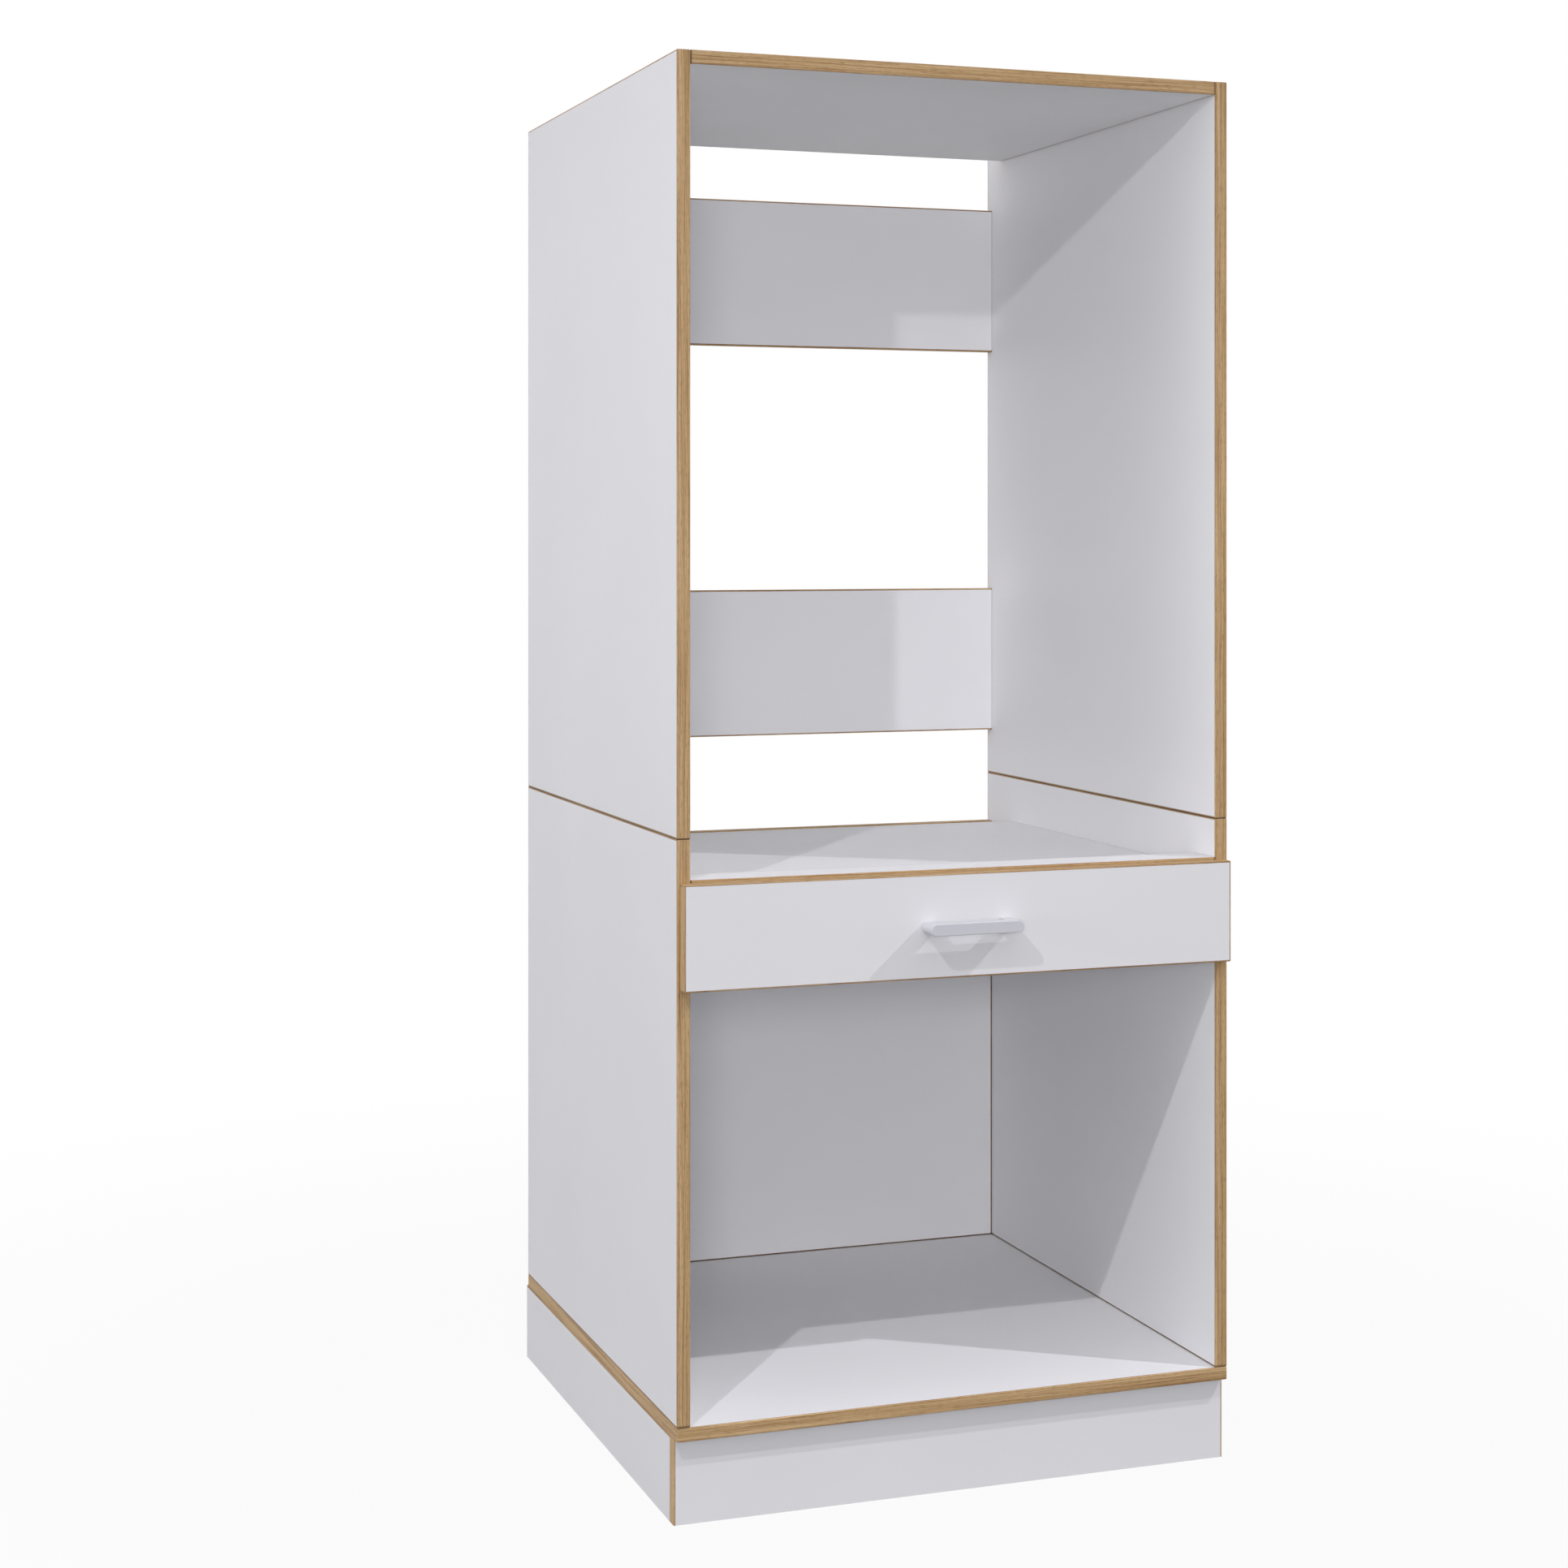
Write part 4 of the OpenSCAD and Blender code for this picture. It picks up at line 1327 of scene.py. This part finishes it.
@dataclass(frozen=True)
class Screws(Fasteners):
    """Screws with a cross recess, and with a raised or a countersunk head.

    The dome holds the height and radius of the raised head's rings, as shares of the head's.
    """

    radius: float
    length: float
    raised: bool = False
    head_ratio: float = 2.0
    head: float = 0.002
    dome: tuple[tuple[float, float], ...] = ((1.0, 0.45), (0.93, 0.72), (0.7, 0.92), (0.4, 1.0))
    flat_ratio: float = 0.97
    tip: float = 0.003
    tip_radius: float = 0.0004
    recess_ratio: float = 0.55
    recess: float = 0.0009
    recess_depth: float = 0.0013
    proud: float = 0.00015
    vertices: int = 24

    def master(self) -> Piece:
        """Model one screw along +Z, its head at Z = 0.

        Returns:
            The screw.
        """
        thin, wide = self.radius, self.radius * self.head_ratio
        if self.raised:
            top = -self.head
            stations = [(top * height, wide * share) for height, share in self.dome]
            stations += [(0.0, wide), (0.0, thin)]
        else:
            top = -self.proud
            stations = [(top, wide * self.flat_ratio), (0.0, wide), (wide - thin, thin)]
        stations += [(self.head, thin), (self.length - self.tip, thin)]
        stations.append((self.length, self.tip_radius))
        screw = turned(f"{self.node}.master", stations, self.vertices)
        half = Vector((wide * self.recess_ratio, self.recess / 2, self.recess_depth))
        cut_cross(screw, top, half)
        return screw


@dataclass(frozen=True)
class CamHousings(Fasteners):
    """Cam housings in the ends of the boards between the sides, with a rim and a cross slot."""

    radius: float = 0.0075
    depth: float = 0.0123
    chamfer: float = 0.0004
    arris: float = 0.0003
    rim: float = 0.0011
    face_depth: float = 0.0005
    face_taper: float = 0.0002
    slot_ratio: float = 0.62
    slot_width: float = 0.0013
    slot_depth: float = 0.0022
    vertices: int = 40

    def master(self) -> Piece:
        """Model one housing below Z = 0, its face up.

        Returns:
            The housing.
        """
        radius, inner = self.radius, self.radius - self.rim
        stations = [
            (-self.depth, radius - self.chamfer),
            (self.chamfer - self.depth, radius),
            (-self.arris, radius),
            (0.0, radius - self.arris),
            (0.0, inner),
            (-self.face_depth, inner - self.face_taper),
        ]
        housing = turned("cam_housings.master", stations, self.vertices)
        half = Vector((radius * self.slot_ratio, self.slot_width / 2, self.slot_depth))
        cut_cross(housing, 0.0, half)
        return housing


@dataclass
class Hardware:
    """All screws but the runners', the cam housings and bolts, dowels and corner blocks."""

    screw_radius: float = 0.002
    front_screw_x: float = 0.24
    front_screw_length: float = 0.022
    handle_screw_x: float = 0.048
    handle_screw_length: float = 0.034
    box_screw_rise: tuple[float, float] = (0.019, 0.07)
    box_screw_length: float = 0.032
    board_screw_radius: float = 0.0025
    board_screw_length: float = 0.028
    strip_screw_x: float = 0.274
    strip_screw_y: float = 0.028
    back_screw_x: float = 0.2
    base_edge: float = 0.06
    cam_inset: float = 0.024
    cam_sink: float = 0.0002
    cam_edge: float = 0.06

    def drawer_screws(self) -> list[Screws]:
        """Lay out the screws of the drawer box, its front and its handle.

        Returns:
            The three sets of screws.
        """
        low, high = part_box("drawer_box_front")
        heights = [low.z + rise for rise in self.box_screw_rise]
        handle_z = middle_of("handle", Axis.Z)
        front = [
            (Vector((x, high.y, z)), FORWARDS) for x in both(self.front_screw_x) for z in heights
        ]
        handle = [(Vector((x, high.y, handle_z)), FORWARDS) for x in both(self.handle_screw_x)]
        outer_x = abs(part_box("drawer_left_side")[0].x)
        depths = [middle_of(node, Axis.Y) for node in ("drawer_box_front", "drawer_box_back")]
        box = [
            (Vector((side.value * outer_x, y, z)), Vector((-side.value, 0, 0)))
            for side in Side
            for y in depths
            for z in heights
        ]
        thin = self.screw_radius
        return [
            Screws("drawer_front_screws", "drawer", front, thin, self.front_screw_length, True),
            Screws("handle_screws", "drawer", handle, thin, self.handle_screw_length, True),
            Screws("drawer_box_screws", "drawer", box, thin, self.box_screw_length),
        ]

    def board_screws(self) -> Screws:
        """Lay out the long screws under the bottom plate and the ones in the stop strip.

        Returns:
            The set of screws.
        """
        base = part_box("bottom_plate")[0].z
        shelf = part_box("machine_shelf")[0].z
        low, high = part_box("lower_left_edging")
        depth = high.y - low.y
        spots = [
            (x, low.y + step, base)
            for x in both(abs(middle_of("lower_left_edging", Axis.X)))
            for step in (self.base_edge, depth / 2, depth - self.base_edge)
        ]
        back_y = middle_of("lower_back_panel", Axis.Y)
        spots += [(x, back_y, base) for x in both(self.back_screw_x)]
        strip_x = (-self.strip_screw_x, 0.0, self.strip_screw_x)
        spots += [(x, low.y + self.strip_screw_y, shelf) for x in strip_x]
        places = [(Vector(spot), UP) for spot in spots]
        return Screws(
            "board_screws", "cabinet", places, self.board_screw_radius, self.board_screw_length
        )

    def cam_housings(self) -> CamHousings:
        """Lay out the cam housings, each on both ends of its board.

        Returns:
            The set of housings.
        """
        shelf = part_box("machine_shelf_edging")
        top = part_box("top_plate_edging")
        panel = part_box("lower_back_edging")
        edge, sink = self.cam_edge, self.cam_sink
        spots = [(y, shelf[0].z + sink, -UP) for y in (shelf[0].y + edge, shelf[1].y - edge)]
        spots += [(y, top[1].z - sink, UP) for y in (top[0].y + edge, top[1].y - edge)]
        heights = (panel[0].z + edge, panel[1].z - edge)
        spots += [(panel[1].y - sink, z, -FORWARDS) for z in heights]
        for rail in ("upper_rail_edging", "lower_rail_edging"):
            spots.append((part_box(rail)[1].y - sink, middle_of(rail, Axis.Z), -FORWARDS))
        x = HALF_INNER - self.cam_inset
        places = [
            (Vector((side.value * x, y, z)), way) for y, z, way in spots for side in Side
        ]
        return CamHousings("cam_housings", "cabinet", places)

    def build(self) -> None:
        """Build all fasteners."""
        for fasteners in (*self.drawer_screws(), self.board_screws(), self.cam_housings()):
            fasteners.build()
        dress(ZINC, "plinth_block_screws", "cam_bolts")
        dress(BEECH, "dowels", "plinth_corner_blocks")


# Drawer runners

RUNNER_LOW, RUNNER_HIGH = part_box("runner_cabinet_left")
RUNNER_Z = middle_of("runner_cabinet_left", Axis.Z)
RUNNER_LENGTH = RUNNER_HIGH.y - RUNNER_LOW.y


@dataclass(frozen=True)
class Channel:
    """Rolled channel along the depth: its web, flanges and lips.

    The web's and the tips' places are distances from the side's inner face to the drawer.
    """

    node: str
    web: float
    tips: float
    sheet: float
    lip: float = 0.0
    holes: tuple[float, ...] = ()
    hole_radius: float = 0.0045
    drill: float = 0.003
    bend: float = 0.0005

    def build(self, side: Side) -> Piece:
        """Model the channel from its web.

        Args:
            side: The side of the cabinet that it is on.

        Returns:
            The channel.
        """
        name = side.of(self.node)
        low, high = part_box(name)
        web_x = side.value * (HALF_INNER - self.web)
        tips_x = side.value * (HALF_INNER - self.tips)
        half = (high.z - low.z) / 2
        place = (web_x, (low.y + high.y) / 2, RUNNER_Z)
        clear_selection()
        bpy.ops.mesh.primitive_plane_add(size=1, location=place, rotation=(0, math.pi / 2, 0))
        bpy.context.object.scale = (2 * half, high.y - low.y, 1)
        piece = settle(f"{name}.channel")
        for level in (-1, 1):
            steps = [(tips_x - web_x, 0, 0)]
            if self.lip:
                steps.append((0, 0, -level * (self.sheet + self.lip)))
            rim = RUNNER_Z + level * half
            with editing(piece) as mesh:
                select_where(piece, mesh.edges, lambda edge: lies_at(edge, Axis.Z, rim))
                for step in steps:
                    bpy.ops.mesh.extrude_edges_move(TRANSFORM_OT_translate={"value": step})
        self.turn_outwards(piece, tips_x - web_x)
        modify(piece, "SOLIDIFY", thickness=self.sheet, offset=-1.0, use_even_offset=True)
        for hole in self.holes:
            ends = [(-self.drill, self.hole_radius), (self.drill, self.hole_radius)]
            tool = turned(f"{name}.drill", ends)
            tool.data.transform(facing(Vector((web_x, low.y + hole, RUNNER_Z)), Vector((1, 0, 0))))
            cut(piece, tool)
        soften(piece, self.bend)
        shade(piece)
        return piece

    def turn_outwards(self, piece: Piece, reach: float) -> None:
        """Turn the channel's faces away from its inside, so that the sheet grows inwards.

        Args:
            piece: The open channel.
            reach: Distance from its web to its tips, by sign.
        """
        with editing(piece, "FACE") as mesh:
            bpy.ops.mesh.select_all(action="SELECT")
            bpy.ops.mesh.normals_make_consistent(inside=False)
            mesh.faces.ensure_lookup_table()
            web = max(mesh.faces, key=lambda face: abs(face.normal.x) * face.calc_area())
            if web.normal.x * reach > 0:
                bpy.ops.mesh.flip_normals()


@dataclass(frozen=True)
class Cage(Channel):
    """Ball cage: a thin channel with two rows of balls.

    A row is ball_off away from the side's inner face, and ball_rise above or below the middle.
    """

    ball_off: float = 0.0
    ball_rise: float = 0.0
    ball_radius: float = 0.0016
    ball_detail: int = 2
    ball_count: int = 8
    ball_end: float = 0.008

    def build(self, side: Side) -> Piece:
        """Model the cage and one ball, and copy the ball to both rows.

        Args:
            side: The side of the cabinet that it is on.

        Returns:
            The cage.
        """
        name = side.of(self.node)
        cage = super().build(side)
        clear_selection()
        bpy.ops.mesh.primitive_ico_sphere_add(
            subdivisions=self.ball_detail, radius=self.ball_radius
        )
        ball = settle(f"{name}.ball")
        low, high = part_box(name)
        pitch = (high.y - low.y - 2 * self.ball_end) / (self.ball_count - 1)
        x = side.value * (HALF_INNER - self.ball_off)
        places = [
            Matrix.Translation((x, low.y + self.ball_end + number * pitch, RUNNER_Z + rise))
            for number in range(self.ball_count)
            for rise in both(self.ball_rise)
        ]
        balls = repeat(ball, f"{name}.balls", places)
        pick(balls)
        bpy.ops.object.shade_smooth()
        return join(f"{name}.cage", [cage, balls])


@dataclass
class Runners:
    """Full-extension ball runners of both sides, with their screws.

    Each has three members and two cages, and screws into the side and into the drawer.
    """

    width: float = 0.0127
    sheet: float = 0.0012
    tips: float = 0.0097
    lip: float = 0.0008
    middle_web: float = 0.0024
    drawer_tips: float = 0.0048
    outer_cage: Cage = Cage(
        "outer_cage", web=0.0015, tips=0.0068, sheet=0.0006, ball_off=0.0062, ball_rise=0.0194
    )
    inner_cage: Cage = Cage(
        "inner_cage", web=0.0039, tips=0.0079, sheet=0.0006, ball_off=0.0073, ball_rise=0.0144
    )
    screw_radius: float = 0.00175
    cabinet_screw_in: float = 0.035
    cabinet_screw_length: float = 0.0122
    drawer_screw_in: float = 0.062
    drawer_screw_length: float = 0.0092

    def steps(self, inset: float) -> tuple[float, float, float]:
        """Return the places of three screws or holes along a runner, from its front end."""
        return (inset, RUNNER_LENGTH / 2, RUNNER_LENGTH - inset)

    def members(self, side: Side) -> list[tuple[Channel, str]]:
        """List the members and cages of one side with their bodies.

        Args:
            side: The side of the cabinet.

        Returns:
            The channels and the body of each.
        """
        cabinet = Channel("runner_cabinet", 0.0, self.tips, self.sheet, self.lip)
        holes = self.steps(self.drawer_screw_in)
        middle = replace(cabinet, node="runner_middle", web=self.middle_web, holes=holes)
        drawer = Channel("runner_drawer", self.width, self.drawer_tips, self.sheet)
        return [
            (cabinet, "cabinet"),
            (middle, side.of("middle_member")),
            (drawer, "drawer"),
            (self.outer_cage, side.of("outer_cage_body")),
            (self.inner_cage, side.of("inner_cage_body")),
        ]

    def screw_places(self, inset: float, off: float, towards: int) -> Places:
        """List the places of three screws in each runner.

        Args:
            inset: Distance of the outer screws from the runner's ends.
            off: Distance of the heads from the side's inner face.
            towards: 1 where the screws point to the cabinet's side, -1 to the drawer.

        Returns:
            Place and direction of each screw.
        """
        return [
            (
                Vector((side.value * (HALF_INNER - off), RUNNER_LOW.y + step, RUNNER_Z)),
                Vector((side.value * towards, 0, 0)),
            )
            for side in Side
            for step in self.steps(inset)
        ]

    def build(self) -> None:
        """Build the members and cages of both sides, and both sets of screws."""
        for side in Side:
            for channel, body in self.members(side):
                carry(channel.build(side), body, STEEL, side.of(channel.node))
        into_side = self.screw_places(self.cabinet_screw_in, self.sheet, 1)
        into_drawer = self.screw_places(self.drawer_screw_in, self.width - self.sheet, -1)
        thin = self.screw_radius
        long, short = self.cabinet_screw_length, self.drawer_screw_length
        Screws("runner_cabinet_screws", "cabinet", into_side, thin, long).build()
        Screws("runner_drawer_screws", "drawer", into_drawer, thin, short, True).build()


# Studio

LIGHT_COLOUR = (1.0, 0.992, 1.035)
WHITE = (1.0, 1.0, 1.0)


def show(data: Any, place: RGB, turn: Euler) -> Piece:
    """Put a lamp or a camera into the scene.

    Args:
        data: The lamp's or the camera's data.
        place: Its place.
        turn: Its rotation.

    Returns:
        The new object.
    """
    made = bpy.data.objects.new(data.name, data)
    made.location = place
    made.rotation_euler = turn
    bpy.context.scene.collection.objects.link(made)
    return made


@dataclass(frozen=True)
class Lamp:
    """A studio lamp that lights near and far parts alike.

    With a cone it shines towards its aim and fades to nothing at the rim of the cone.
    """

    name: str
    place: RGB
    strength: float
    cone: float = 0.0
    aim: RGB = (0.0, 0.0, 0.0)
    radius: float = 0.012

    def build(self) -> None:
        """Hang the lamp."""
        light = bpy.data.lights.new(self.name, "SPOT" if self.cone else "POINT")
        if self.cone:
            light.spot_size = math.radians(self.cone)
            light.spot_blend = 1.0
        light.shadow_soft_size = self.radius
        tree = Tree.of(light)
        falloff = tree.add("ShaderNodeLightFalloff", {"Strength": self.strength})
        feeds = {"Color": rgba(LIGHT_COLOUR), "Strength": falloff.outputs["Constant"]}
        shine = tree.add("ShaderNodeEmission", feeds)
        tree.add("ShaderNodeOutputLight", {"Surface": shine.outputs[0]})
        way = Vector(self.aim) - Vector(self.place)
        show(light, self.place, way.to_track_quat("-Z", "Y").to_euler())


@dataclass
class Studio:
    """Camera, lamps, soft surrounding light and a plain pale floor.

    Each lean is a way that soft light comes from, its strength and how narrow it is.
    """

    camera_place: RGB = (-1.26977, -3.28432, 1.12963)
    camera_turn: RGB = (math.pi / 2, 0.0, -0.3401)
    lens: float = 62.9
    sensor: float = 36.0
    shift_y: float = -0.1611
    fill: float = 0.03
    leans: tuple[tuple[RGB, float, float], ...] = (
        ((-1.0, 0.0, 0.0), 9.8, 24.0),
        ((1.0, 0.0, 0.0), 5.5, 24.0),
        ((0.0, 1.0, 0.0), 4.6, 24.0),
        ((0.0, 0.0, 1.0), 2.5, 24.0),
        ((0.0, -0.707, 0.707), 0.86, 4.0),
    )
    floor_size: float = 40.0
    floor_colour: RGB = screen(130, 130, 130)
    floor_light: float = 0.95
    floor_inner: float = 0.8
    floor_outer: float = 2.2
    lamps: tuple[Lamp, ...] = (
        Lamp("left lamp", (-1.070, -1.270, 1.972), 0.8, cone=106.0, aim=(0.15, -0.2, 0.35)),
        Lamp("right lamp", (1.380, -1.069, 1.972), 1.14),
        Lamp("front lamp", (-1.270, -3.280, 1.130), 0.92, radius=0.3),
    )

    def camera(self) -> None:
        """Set up the camera at the photograph's viewing angle."""
        data = bpy.data.cameras.new("camera")
        data.sensor_width = self.sensor
        data.lens = self.lens
        data.shift_y = self.shift_y
        bpy.context.scene.camera = show(data, self.camera_place, Euler(self.camera_turn))

    def seen(self, tree: Tree) -> Socket:
        """Tell camera, mirror and glass rays from those that carry light.

        Args:
            tree: The tree to add to.

        Returns:
            A socket that is 1 for rays that see the background.
        """
        path = tree.add("ShaderNodeLightPath").outputs
        either = tree.math("MAXIMUM", path["Is Camera Ray"], path["Is Glossy Ray"])
        return tree.math("MAXIMUM", either, path["Is Transmission Ray"])

    def blend(self, tree: Tree, share: Socket, first: Any, second: Any) -> dict[str, Socket]:
        """Mix two shaders.

        Args:
            tree: The tree to add to.
            share: Share of the second one.
            first: Node of the first shader.
            second: Node of the second shader.

        Returns:
            What feeds the tree's output.
        """
        feeds = {0: share, 1: first.outputs[0], 2: second.outputs[0]}
        return {"Surface": tree.add("ShaderNodeMixShader", feeds).outputs[0]}

    def world(self) -> None:
        """Light the object softly from all round, before a white background."""
        world = bpy.data.worlds.new("studio")
        tree = Tree.of(world)
        way = tree.add("ShaderNodeTexCoord").outputs["Generated"]
        strength = self.fill
        for direction, share, sharpness in self.leans:
            lean = tree.vector("DOT_PRODUCT", {0: way, 1: direction})[1]
            lobe = tree.math("POWER", tree.math("MAXIMUM", lean, 0.0), sharpness)
            strength = tree.math("ADD", strength, tree.times(lobe, share))
        feeds = {"Color": rgba(LIGHT_COLOUR), "Strength": strength}
        soft = tree.add("ShaderNodeBackground", feeds)
        white = tree.add("ShaderNodeBackground", {"Color": rgba(WHITE), "Strength": 1.0})
        tree.add("ShaderNodeOutputWorld", self.blend(tree, self.seen(tree), soft, white))
        bpy.context.scene.world = world

    def floor(self) -> None:
        """Lay a white floor that keeps a pale shadow under the object."""
        clear_selection()
        bpy.ops.mesh.primitive_plane_add(size=self.floor_size)
        floor = settle("floor")
        made = bpy.data.materials.new("studio floor")
        tree = Tree.of(made)
        away = tree.vector("LENGTH", {0: tree.place()})[1]
        share = tree.span(away, self.floor_inner, self.floor_outer, self.floor_light, 1.0)
        lit = tree.times(share, self.seen(tree))
        matt = tree.add("ShaderNodeBsdfDiffuse", {"Color": rgba(self.floor_colour)})
        white = tree.add("ShaderNodeEmission", {"Color": rgba(WHITE), "Strength": 1.0})
        tree.add("ShaderNodeOutputMaterial", self.blend(tree, lit, matt, white))
        floor.data.materials.append(made)

    def build(self) -> None:
        """Set up the whole studio."""
        self.camera()
        self.world()
        self.floor()
        for lamp in self.lamps:
            lamp.build()
        bpy.context.scene.view_settings.view_transform = "Standard"


def main() -> None:
    """Build the cabinet's looks, piece by piece."""
    logging.basicConfig(level=logging.INFO, format="%(name)s: %(message)s")
    Studio().build()
    number = 0
    for group in (PLINTH, LOWER_UNIT, UPPER_UNIT, DRAWER_FRONT):
        number = group.build(number)
    log.info("%d oak strips made", number)
    for part in (DrawerBox(), Handle(), Hardware(), Runners()):
        part.build()


if __name__ == "__main__":
    main()
